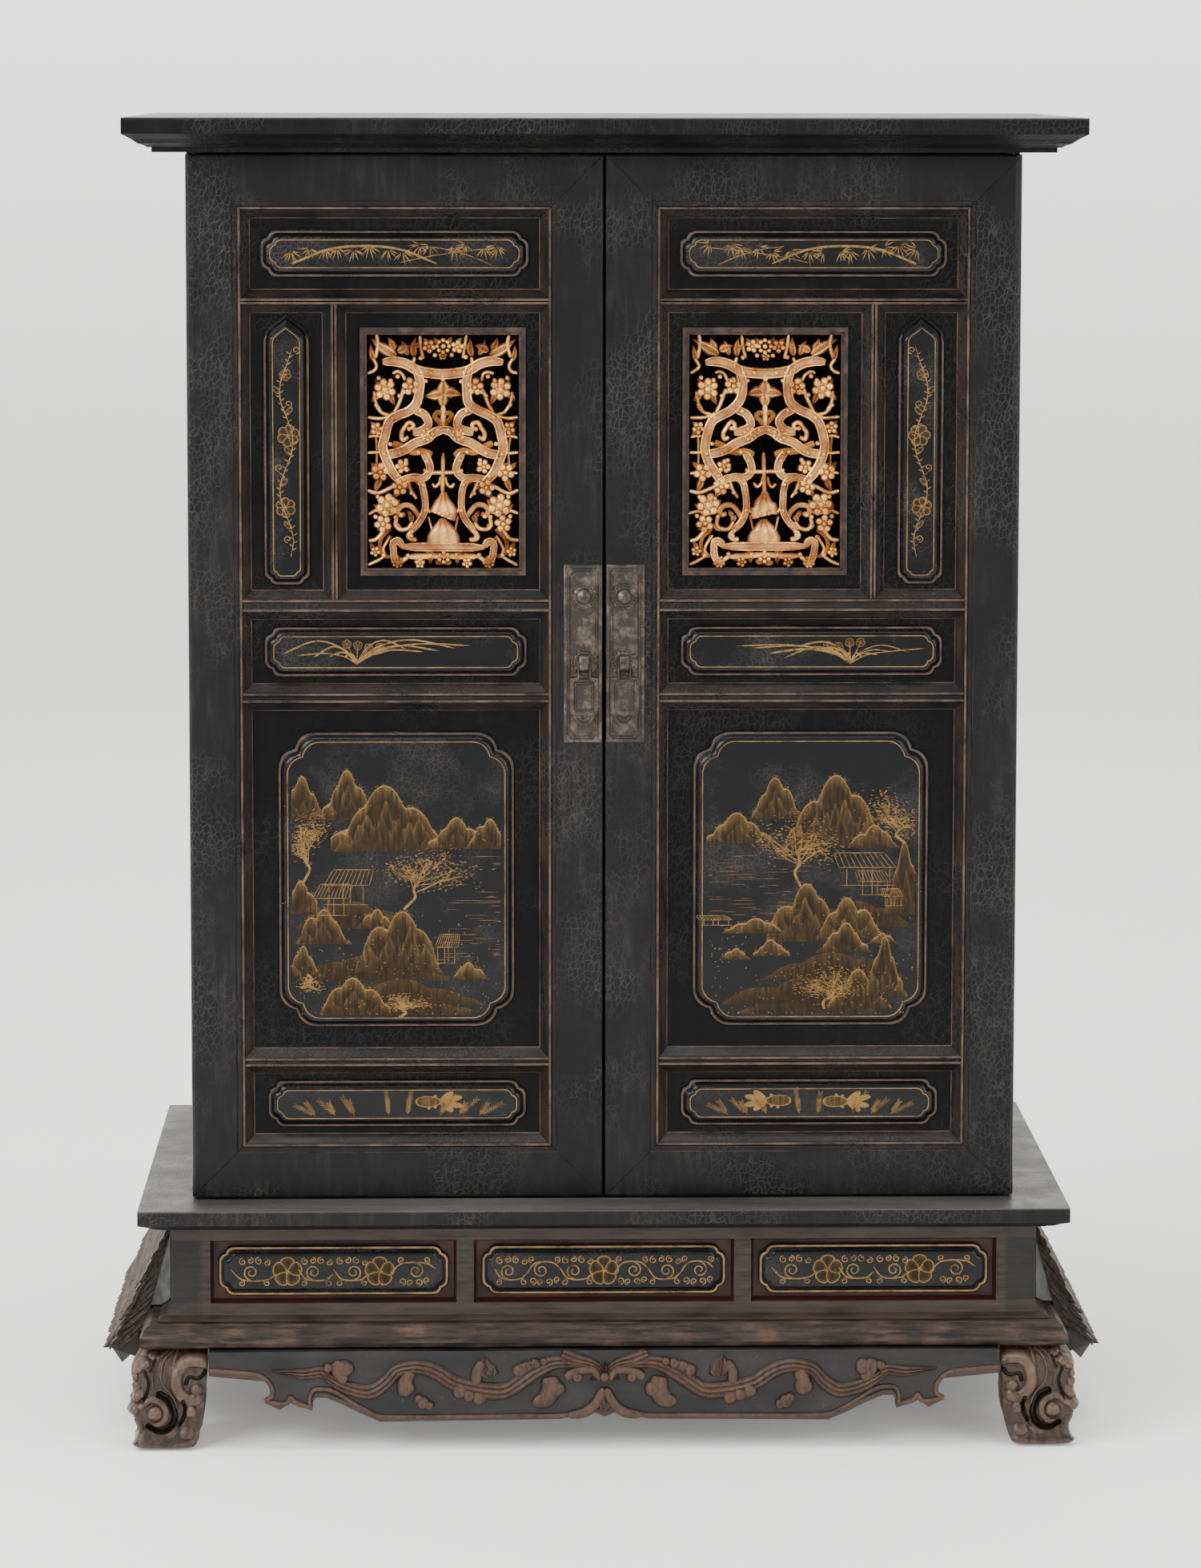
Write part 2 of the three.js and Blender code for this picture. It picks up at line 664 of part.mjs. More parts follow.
function openwork(x, z, front) {
  const half = windowWidth / 2;
  const rise = windowHeight / 2;
  const widths = { stem: stemWidth, tendril: tendrilWidth };
  const back = front + openworkThickness;
  const outlines = [];
  for (const side of [1, -1]) {
    const place = ([a, b]) => [x + side * a * half, z + b * rise];
    for (const { width, points } of scrollShares) {
      outlines.push(stemOutline(points.map(place), widths[width], points.length - 1));
    }
    for (const share of blossomShares) outlines.push(flowerOutline(...place(share), blossomRadius, 4, blossomSteps));
    for (const share of budShares) outlines.push(flowerOutline(...place(share), budRadius, 3, budSteps));
  }
  const both = (shares) => [...shares, ...shares.map(([a, b]) => [-a, b]).reverse()]
    .map(([a, b]) => [x + a * half, z + b * rise]);
  outlines.push(both(bellShares));
  outlines.push(both(moundShares));
  for (const shares of [staffShares, spineShares]) {
    const [z0, z1] = shares.map((share) => z + share * rise);
    const staff = tendrilWidth / 2;
    outlines.push([[x - staff, z0], [x + staff, z0], [x + staff, z1], [x - staff, z1]]);
  }
  let body = prismY(outlines[0], front, back);
  for (const outline of outlines.slice(1)) body = body.add(prismY(outline, front, back));
  return body;
}

function piercedPanel(x0, x1, z0, z1) {
  const x = (x0 + x1) / 2;
  const z = (z0 + z1) / 2;
  const front = panelFront - borderRise;
  const border = block(x - borderWidth / 2, x + borderWidth / 2, front, panelFront + panelThickness,
    z - borderHeight / 2, z + borderHeight / 2);
  const window = block(x - windowWidth / 2, x + windowWidth / 2, front - overrun, doorThickness + overrun,
    z - windowHeight / 2, z + windowHeight / 2);
  const limits = block(x - windowWidth / 2 - overrun, x + windowWidth / 2 + overrun, -overrun, doorThickness,
    z - windowHeight / 2 - overrun, z + windowHeight / 2 + overrun);
  const carving = openwork(x, z, front + openworkSink).intersect(limits);
  return panelBoard(x0, x1, z0, z1).add(border).subtract(window).add(carving);
}

// Turned boss on the half plate
function roundBoss(x, z, radius, riseOffPlate, crown, sides) {
  const rise = plateThickness + riseOffPlate;
  const profile = [[0, 0], [1, 0], [bossShoulder[0], bossShoulder[1]], [crown, 1], [0, 1]]
    .map(([a, b]) => new THREE.Vector2(a * radius, b * rise));
  const turned = new THREE.LatheGeometry(profile, sides);
  return solid(turned.rotateX(Math.PI).translate(x, -clearance, z));
}

// Half plate with its stud, rosettes and strike
function handlePlate() {
  const back = -clearance;
  const front = back - plateThickness;
  const x1 = doorWidth - plateEdge;
  const x = doorWidth - fittingInset;
  return block(x1 - plateWidth, x1, front, back, plateBase, plateBase + plateHeight)
    .add(roundBoss(x, studHeight, rosetteRadius, rosetteRise, rosetteCrown, rosetteSides))
    .add(roundBoss(x, studHeight, studRadius, studRise, studCrown, studSides))
    .add(roundBoss(x, pullPinHeight, rosetteRadius, rosetteRise, rosetteCrown, rosetteSides))
    .add(roundBoss(x, strikeHeight, strikeRadius, strikeRise, rosetteCrown, rosetteSides));
}

// Bent strap that carries the pull's crossbar
function staple() {
  const x = doorWidth - fittingInset;
  const back = -clearance - plateThickness - rosetteRise - clearance;
  const front = -pullPinStandoff - strapFront;
  const z0 = pullPinHeight - strapBottom;
  const z1 = pullPinHeight + strapTop;
  const half = strapWidth / 2;
  const body = block(x - half, x + half, front, back, z0, z1);
  const eye = block(x - half - overrun, x + half + overrun, front + strapWall, -pullPinStandoff + pullPinRadius
    + clearance, pullPinHeight - pullPinRadius - 2 * clearance, pullPinHeight + pullPinRadius + 2 * clearance);
  return body.subtract(eye);
}

// Flat pendant pull: crossbar, narrow neck, square shoulders and a body with thick rims
function pull() {
  const x = doorWidth - fittingInset;
  const middle = -pullPinStandoff;
  const y0 = middle - pullThickness / 2;
  const y1 = middle + pullThickness / 2;
  const shoulder = pullPinHeight - pullShoulder;
  const foot = pullPinHeight - pullLength;
  const neck = pullNeckWidth / 2;
  const half = pullWidth / 2;
  const top = pullPinHeight + pullPinRadius;
  const outline = [[x - half, foot], [x + half, foot], [x + half, shoulder], [x + neck, shoulder],
    [x + neck, top], [x - neck, top], [x - neck, shoulder], [x - half, shoulder]];
  const eyeHalf = neck - pullNeckRim;
  const eye = block(x - eyeHalf, x + eyeHalf, y0 - overrun, y1 + overrun, shoulder + pullNeckRim,
    top + overrun);
  const sunk = block(x - half + pullRim, x + half - pullRim, y0 - overrun, y1 - pullWeb, foot + pullRim,
    shoulder - pullNeckRim);
  const bar = rod(pullPinRadius, 2 * neck - pullNeckRim, 10, 'x').translate(x, middle, pullPinHeight);
  return prismY(outline, y0, y1).subtract(eye).subtract(sunk).add(solid(bar));
}

// Rail and opening levels of a leaf, from the bottom up
function doorLevels() {
  const levels = {};
  let z = frameWidth;
  const opening = (name, height) => {
    levels[name] = [z, z + height];
    z += height;
  };
  const rail = (name, width) => {
    levels[name] = { centre: z + width / 2, width };
    z += width;
  };
  opening('bottom', bottomOpening);
  rail('rail_d', railDWidth);
  opening('large', largeOpening);
  rail('rail_c', railCWidth);
  opening('middle', middleOpening);
  rail('rail_b', railBWidth);
  opening('pierce', pierceOpening);
  rail('rail_a', railAWidth);
  opening('top', topOpening);
  return levels;
}

// One leaf with its outer edge at x = 0, its face at y = 0 and its foot at z = 0
function doorPieces() {
  const levels = doorLevels();
  const x0 = frameWidth;
  const x1 = doorWidth - frameWidth;
  const xNarrow = x0 + narrowOpening;
  const xPierce = x1 - pierceWidth;
  const narrowLift = narrowCartoucheFoot + narrowCartouche.height / 2 - pierceOpening / 2;
  return {
    outer_stile: [outerStile(), 'lacquer'],
    inner_stile: [innerStile(), 'lacquer'],
    top_rail: [frameRail(true), 'lacquer'],
    rail_a: [middleRail(levels.rail_a.width, levels.rail_a.centre), 'wornLacquer'],
    rail_b: [middleRail(levels.rail_b.width, levels.rail_b.centre), 'wornLacquer'],
    rail_c: [middleRail(levels.rail_c.width, levels.rail_c.centre), 'wornLacquer'],
    rail_d: [middleRail(levels.rail_d.width, levels.rail_d.centre), 'wornLacquer'],
    bottom_rail: [frameRail(false), 'lacquer'],
    muntin: [muntin((xNarrow + xPierce) / 2, levels.rail_b, levels.rail_a), 'wornLacquer'],
    top_panel: [cartouchePanel((inset) => cartoucheOutline(topCartouche, inset), x0, x1, ...levels.top, 0), 'lacquer'],
    narrow_panel: [cartouchePanel((inset) => archedOutline(narrowCartouche, inset), x0, xNarrow,
      ...levels.pierce, narrowLift), 'lacquer'],
    pierced_panel: [piercedPanel(xPierce, x1, ...levels.pierce), 'gilding'],
    middle_panel: [cartouchePanel((inset) => cartoucheOutline(middleCartouche, inset), x0, x1, ...levels.middle, 0), 'lacquer'],
    landscape_panel: [cartouchePanel((inset) => cartoucheOutline(largeCartouche, inset), x0, x1, ...levels.large, 0), 'lacquer'],
    bottom_panel: [cartouchePanel((inset) => cartoucheOutline(bottomCartouche, inset), x0, x1, ...levels.bottom, 0), 'lacquer'],
    handle_plate: [handlePlate(), 'bronze'],
    staple: [staple(), 'bronze'],
    pull: [pull(), 'bronze'],
  };
}

function addDoors() {
  const pieces = doorPieces();
  const left = new THREE.Group();
  const right = new THREE.Group();
  left.position.set(-doorPairWidth / 2, doorFront, doorFoot);
  right.position.set(doorPairWidth / 2, doorFront, doorFoot);
  for (const [name, [body, finishName]] of Object.entries(pieces)) {
    const geometry = geometryOf(body);
    addPiece(left, `left_door_${name}`, geometry, finishName);
    addPiece(right, `right_door_${name}`, mirrored(geometry), finishName);
  }
  shrine.add(left, right);
}

// Blind holes in which the door pins turn
function pivotSockets(body, level, upwards) {
  let cut = body;
  const depth = pivotLength + clearance - doorRunningGap;
  for (const side of [-1, 1]) {
    const x = side * (doorPairWidth / 2 - pivotInset);
    const z = upwards ? level + (depth - overrun) / 2 : level - (depth - overrun) / 2;
    const bore = rod(pivotRadius + clearance, depth + overrun, pivotSides, 'z').translate(x, doorAxisDepth, z);
    cut = cut.subtract(solid(bore));
  }
  return cut;
}

// Ogee edge between two levels: hollow below, round above, or the other way up
const ogeeShares = [[1, 0], [0.86, 0.14], [0.62, 0.30], [0.38, 0.62], [0.14, 0.86], [0, 1]];

function addCornice() {
  const ogeeFoot = corniceFoot + corniceFillet;
  const levels = [
    [corniceOgeeReach + corniceFilletReach, corniceFoot],
    [corniceOgeeReach + corniceFilletReach, ogeeFoot],
    ...ogeeShares.map(([a, b]) => [a * corniceOgeeReach, ogeeFoot + b * corniceOgee]),
    [0, corniceTop],
  ];
  addPiece(shrine, 'cornice_board', pivotSockets(mouldedBoard(corniceWidth, corniceDepth, levels),
    corniceFoot, true), 'lacquer');
}

function addStandTop() {
  const levels = [
    ...ogeeShares.map(([a, b]) => [a * standTopOgeeReach, waistTop + clearance
      + b * (standTopOgee - clearance)]),
    [0, standTop],
  ];
  addPiece(shrine, 'stand_top', pivotSockets(mouldedBoard(standTopWidth, standTopDepth, levels),
    standTop, false), 'lacquer');
}

// Carcass: two sides grooved for the back and the shelf
function addCarcass() {
  const outside = doorPairWidth / 2;
  const inside = outside - sideThickness;
  const z0 = standTop + clearance;
  const z1 = corniceFoot - clearance;
  const backY0 = carcassBack - backInset - backThickness;
  const shelfZ0 = standTop + shelfHeight;
  const shelfZ1 = shelfZ0 + shelfThickness;
  const shelfFront = carcassFront + shelfSetback;
  const shelfBack = backY0 - clearance;
  const side = block(-outside, -inside, carcassFront, carcassBack, z0, z1)
    .subtract(block(-inside - boardGroove, -inside + overrun, backY0 - clearance,
      backY0 + backThickness + clearance, z0 - overrun, z1 + overrun))
    .subtract(block(-inside - boardGroove, -inside + overrun, shelfFront - clearance,
      backY0, shelfZ0 - clearance, shelfZ1 + clearance));
  const geometry = geometryOf(side);
  addPiece(shrine, 'cabinet_side_left', geometry, 'lacquer');
  addPiece(shrine, 'cabinet_side_right', mirrored(geometry), 'lacquer');
  const reach = inside + boardGroove - clearance;
  addPiece(shrine, 'cabinet_back', block(-reach, reach, backY0, backY0 + backThickness, z0, z1), 'lacquer');
  addPiece(shrine, 'cabinet_shelf', block(-reach, reach, shelfFront, shelfBack, shelfZ0, shelfZ1), 'wornLacquer');
}

// Waist board section across its thickness: upright face with a cove at its foot
const coveShares = [[0, 1], [0.10, 0.62], [0.38, 0.28], [0.82, 0.10], [1, 0]];

function waistOutline() {
  const z0 = baseTop + clearance;
  const z1 = waistTop;
  const coveLip = 2 * clearance;
  return [
    [waistThickness, z0],
    [waistThickness, z1],
    [0, z1],
    ...coveShares.map(([a, b]) => [-a * waistCoveReach, z0 + coveLip + b * waistCoveHeight]),
    [-waistCoveReach, z0],
  ];
}

// Waist board along X with its face at y = 0, mitred at both ends
function waistBoard(length) {
  const half = length / 2;
  const long = half + waistCoveReach;
  const far = waistThickness + overrun;
  const board = prismX(waistOutline(), -long, long);
  const mitre = (side) => prismZ([
    [side * (half + 2 * far), -2 * far],
    [side * (half + 2 * far - clearance), -2 * far],
    [side * (half - 2 * far - clearance), 2 * far],
    [side * (half + 2 * far), 2 * far],
  ], baseTop - overrun, waistTop + overrun);
  return board.subtract(mitre(1)).subtract(mitre(-1));
}

function waistPocket(x0, x1, z0, z1) {
  const ring = (inset, y) => [[x0 + inset, y, z0 + inset], [x1 - inset, y, z0 + inset],
    [x1 - inset, y, z1 - inset], [x0 + inset, y, z1 - inset]];
  const slant = waistPocketSlope / waistPocketDepth;
  return solid(lofted([ring(-overrun * slant, -overrun), ring(waistPocketSlope, waistPocketDepth)]));
}

function addWaist() {
  const pocketFoot = baseTop + waistFloorLedge + clearance;
  const pocketTop = waistTop - waistTopRail;
  const dividerHalf = waistDivider / 2;
  const pockets = {
    left: [-waistWidth / 2 + waistPost, -waistDividerPlace - dividerHalf],
    center: [-waistDividerPlace + dividerHalf, waistDividerPlace - dividerHalf],
    right: [waistDividerPlace + dividerHalf, waistWidth / 2 - waistPost],
  };
  let front = waistBoard(waistWidth);
  const face = -waistDepth / 2;
  for (const [name, [x0, x1]] of Object.entries(pockets)) {
    front = front.subtract(waistPocket(x0, x1, pocketFoot, pocketTop));
    const sizes = {
      width: x1 - x0 - 2 * waistCartoucheSide,
      height: pocketTop - pocketFoot - 2 * waistCartoucheMargin,
      lobe: waistLobe,
      cusp: waistCusp,
    };
    const ground = face + waistPocketDepth - clearance - waistCartoucheBack;
    const body = cartouche((inset) => cartoucheOutline(sizes, inset), (x0 + x1) / 2, ground,
      (pocketFoot + pocketTop) / 2, waistCartoucheBack);
    addPiece(shrine, `waist_cartouche_${name}`, body, 'lacquer');
  }
  const plainFront = addPiece(shrine, 'waist_front', front, 'redLacquer');
  plainFront.position.y = face;
  const back = addPiece(shrine, 'waist_back', waistBoard(waistWidth), 'wornLacquer');
  back.position.y = -face;
  back.rotation.z = Math.PI;
  for (const [name, side] of [['left', -1], ['right', 1]]) {
    const end = addPiece(shrine, `waist_side_${name}`, waistBoard(waistDepth), 'wornLacquer');
    end.position.x = (side * waistWidth) / 2;
    end.rotation.z = (side * Math.PI) / 2;
  }
}

// Base moulding: narrow shoulder, fascia and a round nose, in shares of its height and of its shoulder
const baseShares = [[0.5, 0], [0.12, 0.10], [0, 0.28], [0.10, 0.5], [0.42, 0.62], [0.48, 0.82], [1, 1]];

function addBase() {
  const levels = baseShares.map(([a, b]) => [a * baseShoulder, footTop + clearance
    + b * (baseHeight - clearance)]);
  addPiece(shrine, 'base_moulding', mouldedBoard(baseWidth, baseDepth, levels), 'wornLacquer');
}

// Lower edge of a carved apron, from the foot to the middle: shares of its half length and of its drop
const apronShares = [[1, 0.34], [0.856, 0.416], [0.844, 0.488], [0.839, 0.58], [0.844, 0.67], [0.856, 0.727],
  [0.821, 0.824], [0.795, 0.727], [0.739, 0.836], [0.739, 0.727], [0.73, 0.654], [0.704, 0.654],
  [0.665, 0.744], [0.619, 0.872], [0.567, 1], [0.112, 0.974], [0.073, 0.927], [0.041, 0.855],
  [0.021, 0.89], [0, 0.94]];

function apronEdge(halfLength, drop) {
  const left = apronShares.map(([a, b]) => [-a * halfLength, footTop - b * drop]);
  const right = left.slice(0, -1).map(([a, b]) => [-a, b]).reverse();
  return [...left, ...right];
}

// Apron board with its face at y = 0 and a raised bead that follows its lower edge
function apronBoard(halfLength, drop) {
  const edge = apronEdge(halfLength, drop);
  const outline = [[halfLength, footTop], [-halfLength, footTop], ...edge];
  const board = prismY(outline, 0, apronThickness);
  const bead = prismY(outline, -apronBeadRise, apronThickness / 2);
  const above = prismY(raised(outline, apronBead), -apronBeadRise - overrun, apronThickness);
  return board.add(bead.subtract(above));
}

function addAprons() {
  const frontHalf = footSpread - footWidth - clearance;
  const sideHalf = footDepthSpread - footWidth - clearance;
  const frontY = footDepthSpread - apronSetback;
  const sideX = footSpread - apronSetback;
  const front = addPiece(shrine, 'apron_front', apronBoard(frontHalf, apronDrop), 'carvedWood');
  front.position.y = -frontY;
  for (const [name, side] of [['left', -1], ['right', 1]]) {
    const end = addPiece(shrine, `apron_${name}`, apronBoard(sideHalf, apronDrop), 'carvedWood');
    end.position.x = side * sideX;
    end.rotation.z = (side * Math.PI) / 2;
  }
  const outline = [[-frontHalf, footTop], [-frontHalf, footTop - apronSideDrop],
    [frontHalf, footTop - apronSideDrop], [frontHalf, footTop]];
  addPiece(shrine, 'apron_back', prismY(outline, frontY - apronThickness, frontY), 'wornLacquer');
}

// Side view of a scroll foot, in shares of its width from the outside and of its height
const footShares = [[0.10, 0], [0.83, 0], [0.90, 0.13], [0.95, 0.40], [0.94, 0.58], [1, 0.75], [1, 1],
  [0.16, 1], [0.04, 0.90], [0.01, 0.78], [0.05, 0.59], [0, 0.36], [0.05, 0.24], [0.10, 0.14], [0.07, 0.06]];

function addFeet() {
  const outline = footShares.map(([a, b]) => [a * footWidth, b * footHeight]);
  const body = prismY(outline, 0, footWidth).intersect(prismX(outline, 0, footWidth));
  const geometry = geometryOf(body);
  const other = mirrored(geometry);
  const places = {
    front_left: [-footSpread, -footDepthSpread, 0, geometry],
    front_right: [footSpread, -footDepthSpread, 0, other],
    back_left: [-footSpread, footDepthSpread, Math.PI, other],
    back_right: [footSpread, footDepthSpread, Math.PI, geometry],
  };
  for (const [name, [x, y, turn, shape]] of Object.entries(places)) {
    const foot = addPiece(shrine, `foot_${name}`, shape, 'carvedWood');
    foot.position.set(x, y, 0);
    foot.rotation.z = turn;
  }
}

// Wing section: overlapping courses that lean out from the waist, each proud of the one above
function wingOutline() {
  const top = [waistWidth / 2 + waistThickness / 2, wingTop];
  const foot = [wingReach, wingBottom + wingThickness];
  const outer = [];
  for (let i = 0; i < wingCourses; i += 1) {
    const a = i / wingCourses;
    const b = (i + 1) / wingCourses;
    const start = [top[0] + (foot[0] - top[0]) * a, top[1] + (foot[1] - top[1]) * a];
    const end = [top[0] + (foot[0] - top[0]) * b, top[1] + (foot[1] - top[1]) * b];
    outer.push([start[0] - wingStep / 2, start[1]], [end[0], end[1]]);
  }
  const baseEdge = baseWidth / 2 + clearance;
  const waistFace = waistWidth / 2 + clearance;
  const apronFace = footSpread - apronSetback + apronBeadRise + clearance;
  return [
    ...outer,
    [wingReach - wingThickness, wingBottom],
    [apronFace, wingBottom + wingThickness],
    [apronFace, footTop],
    [baseEdge, footTop],
    [baseEdge, baseTop + clearance],
    [waistFace + waistCoveReach, baseTop + waistCoveHeight / 2],
    [waistFace, baseTop + waistCoveHeight + wingStep],
    [waistFace, wingTop],
  ];
}

function addWings() {
  const half = footDepthSpread - footWidth - wingGap;
  const section = wingOutline();
  const body = prismY(section, -half, half);
  const right = geometryOf(body);
  addPiece(shrine, 'wing_right', right, 'greyedWood');
  addPiece(shrine, 'wing_left', mirrored(right), 'greyedWood');
}

addDoors();
addCornice();
addCarcass();
addStandTop();
addWaist();
addBase();
addAprons();
addFeet();
addWings();

export default shrine;
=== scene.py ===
"""Lacquered wood shrine: looks, painting, carving and fittings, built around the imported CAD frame.

Metres, +Z up. The front faces -Y, and the origin is on the floor in the middle of the feet.
Sizes inside the functions are in millimetres, and MM turns them to metres where a mesh is made.
"""
import math
from functools import partial

import bpy
import numpy as np
from bpy.props import FloatProperty, FloatVectorProperty, IntProperty, PointerProperty
from mathutils import Matrix


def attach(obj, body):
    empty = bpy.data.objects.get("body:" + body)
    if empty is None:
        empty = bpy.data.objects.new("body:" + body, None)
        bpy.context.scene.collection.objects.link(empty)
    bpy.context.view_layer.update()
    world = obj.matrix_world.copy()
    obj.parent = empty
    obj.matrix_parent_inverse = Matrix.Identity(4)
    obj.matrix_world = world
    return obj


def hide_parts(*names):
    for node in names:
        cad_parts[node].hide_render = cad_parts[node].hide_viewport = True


bl_info = {
    "name": "Lacquered wood shrine",
    "version": (1, 0, 0),
    "blender": (4, 5, 0),
    "location": "View3D > Sidebar > Shrine",
    "description": "Dresses a two-door lacquered shrine on its carved stand",
    "category": "Object",
}

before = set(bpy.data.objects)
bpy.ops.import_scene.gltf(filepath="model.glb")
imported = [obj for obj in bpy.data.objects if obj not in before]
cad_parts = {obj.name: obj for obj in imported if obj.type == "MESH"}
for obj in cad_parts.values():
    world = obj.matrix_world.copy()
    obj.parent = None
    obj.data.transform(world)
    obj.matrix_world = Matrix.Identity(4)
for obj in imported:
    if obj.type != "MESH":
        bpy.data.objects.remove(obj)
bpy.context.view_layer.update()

SIDES = ("left", "right")
MM = 0.001

# Door leaf, in millimetres: x from the outer edge, y from the face, z from the foot
DOOR_HALF = 340.0  # middle of the shrine to the outer edge of a leaf
DOOR_FACE = -171.0
DOOR_FOOT = 201.0
PANEL_GROUND = 10.0

# Middles of the door panels, x and z in the leaf
TOP_PANEL = (169.5, 778.5)
NARROW_PANEL = (81.0, 617.0)
PIERCED_PANEL = (208.5, 617.0)
MIDDLE_PANEL = (169.5, 453.0)
LARGE_PANEL = (169.5, 264.0)
BOTTOM_PANEL = (169.5, 77.0)

# Stand
WAIST_FACE = -190.0
WAIST_POCKET_FLOOR = -182.0
WAIST_MIDDLE = 142.7
APRON_TOP = 83.0
APRON_FACE = -219.5


def linear(hex_colour):
    """sRGB hex value such as "#8a6536" to a linear RGBA colour."""
    channels = [int(hex_colour[i:i + 2], 16) / 255 for i in (1, 3, 5)]
    return (*[c / 12.92 if c <= 0.04045 else ((c + 0.055) / 1.055) ** 2.4 for c in channels], 1.0)


def colour_property(label, use, default):
    """A colour that the sidebar shows, kept linear."""
    return FloatVectorProperty(name=label, description=use, subtype="COLOR", size=4, min=0, max=1,
                               default=linear(default))


class ShrineColours(bpy.types.PropertyGroup):
    lacquer: colour_property("Black lacquer", "Sound lacquer of the cabinet", "#0b0c0e")
    lacquer_worn: colour_property("Rubbed lacquer", "Lacquer that has gone grey", "#2b2927")
    undercoat: colour_property("Brown undercoat", "Shows where mouldings are rubbed", "#2c211b")
    gold_line: colour_property("Rubbed gilding", "Thin lines on mouldings and rims", "#5e4c40")
    gold_paint: colour_property("Gold paint", "Painted plants and landscapes", "#86683e")
    gold_leaf: colour_property("Gold leaf", "Pierced carvings", "#eeb765")
    bole: colour_property("Red-brown bole", "Clay ground under the gold leaf", "#744533")
    cinnabar: colour_property("Cinnabar red", "Pockets behind the waist cartouches", "#300f0c")
    bare_wood: colour_property("Weathered wood", "Worn mouldings and feet", "#362b23")
    bronze: colour_property("Dark bronze", "Plates, studs and pulls", "#312d29")
    floor: colour_property("Floor", "Plain pale floor", "#f4f3f1")


class ShrineSizes(bpy.types.PropertyGroup):
    crackle: FloatProperty(name="Crackle", description="Size of one field of the lacquer's crackle",
                           default=0.0042, min=0.001, unit="LENGTH")
    stroke: FloatProperty(name="Brush stroke", description="Width of a fine painted line",
                          default=0.0007, min=0.0002, unit="LENGTH")
    paint_rise: FloatProperty(name="Paint rise", description="How far gold paint stands off the lacquer",
                              default=0.00022, min=0.00005, unit="LENGTH")
    feathers: IntProperty(name="Feathers", description="Feathers in one course of a carved wing",
                          default=17, min=4, max=40)


# Surfaces


def smooth_path(points, count):
    """Curve through the given points, sampled evenly by length.

    Between two points it is the cubic whose slope at each point is half the step between that
    point's neighbours. The ends repeat their first and last step.
    """
    p = np.asarray(points, float)
    if len(p) == 2:
        t = np.linspace(0, 1, count)[:, None]
        return p[0] * (1 - t) + p[1] * t
    padded = np.vstack([2 * p[0] - p[1], p, 2 * p[-1] - p[-2]])
    t = np.linspace(0, len(p) - 1, count * 6)
    i = np.minimum(t.astype(int), len(p) - 2)
    f = (t - i)[:, None]
    a, b, c, d = padded[i], padded[i + 1], padded[i + 2], padded[i + 3]
    dense = b + 0.5 * f * ((c - a) + f * ((2 * a - 5 * b + 4 * c - d) + f * (3 * (b - c) + d - a)))
    run = np.concatenate([[0], np.cumsum(np.linalg.norm(np.diff(dense, axis=0), axis=1))])
    even = np.linspace(0, run[-1], count)
    return np.stack([np.interp(even, run, dense[:, k]) for k in range(dense.shape[1])], axis=1)


def upright(flat, y):
    """Points (x, z) of a front view as points (x, y, z)."""
    flat = np.asarray(flat, float)
    return np.stack([flat[..., 0], np.broadcast_to(y, flat.shape[:-1]), flat[..., 1]], axis=-1)


def toward(angle):
    """Unit step at an angle in the plane of the front."""
    return np.array([math.cos(angle), math.sin(angle)])


def circle(sides):
    """Angles of evenly spaced points on a full turn."""
    return np.linspace(0, 2 * math.pi, sides, endpoint=False)


def grid_faces(rows, columns):
    """Quads that join a grid of points, row by row; the columns close into a ring."""
    r = np.arange(rows - 1)[:, None]
    c = np.arange(columns)[None, :]
    n = (c + 1) % columns
    return np.stack([r * columns + c, r * columns + n, (r + 1) * columns + n,
                     (r + 1) * columns + c], axis=-1).reshape(-1, 4)


def outward(vertices, quads, triangles=(), shares=1.0):
    """A closed shell, its faces turned the other way round if they enclose a negative volume."""
    triangles = np.reshape(triangles, (-1, 3)).astype(int)
    fans = np.vstack([quads[:, [0, 1, 2]], quads[:, [0, 2, 3]], triangles])
    a, b, c = (vertices[fans[:, k]] for k in range(3))
    way = -1 if np.einsum("ij,ij->i", a, np.cross(b, c)).sum() < 0 else 1
    return vertices, quads[:, ::way], triangles[:, ::way], np.broadcast_to(shares, len(vertices))


def tube_shell(rings, shares=1.0):
    """Closed shell over a stack of rings (rows, columns, 3), each end closed by a fan to its middle.

    shares, spread over rows and columns, says how high each point lies on its carving; the finishes
    read it from the uv map.
    """
    rings = np.asarray(rings)
    rows, columns, _ = rings.shape
    shares = np.broadcast_to(shares, (rows, columns)).astype(float)
    shares = np.concatenate([shares.ravel(), [shares[0].mean(), shares[-1].mean()]])
    vertices = np.vstack([rings.reshape(-1, 3), rings[0].mean(0), rings[-1].mean(0)])
    c = np.arange(columns)
    n = (c + 1) % columns
    end = (rows - 1) * columns
    first = np.stack([n, c, np.full(columns, rows * columns)], axis=1)
    last = np.stack([end + c, end + n, np.full(columns, rows * columns + 1)], axis=1)
    return outward(vertices, grid_faces(rows, columns), np.vstack([first, last]), shares)


# Cross-sections of a carved stroke: share of the half width across, share of the rise
ROUND = ((-1, 0), (-0.92, 0.5), (-0.62, 0.85), (0, 1), (0.62, 0.85), (0.92, 0.5), (1, 0), (0, -0.15))
RIMMED = ((-1, 0), (-0.95, 0.9), (-0.72, 1), (-0.5, 0.62), (0, 0.7), (0.5, 0.62), (0.72, 1), (0.95, 0.9),
          (1, 0), (0, -0.15))
RIBBED = ((-1, 0), (-0.85, 0.55), (-0.55, 0.9), (-0.3, 0.62), (0, 1), (0.3, 0.62), (0.55, 0.9),
          (0.85, 0.55), (1, 0), (0, -0.15))
VEINED = ((-1, 0), (-0.6, 0.85), (-0.12, 0.55), (0, 0.9), (0.12, 0.55), (0.6, 0.85), (1, 0), (0, -0.15))
KEEL = ((-1, 0), (0, 1), (1, 0))
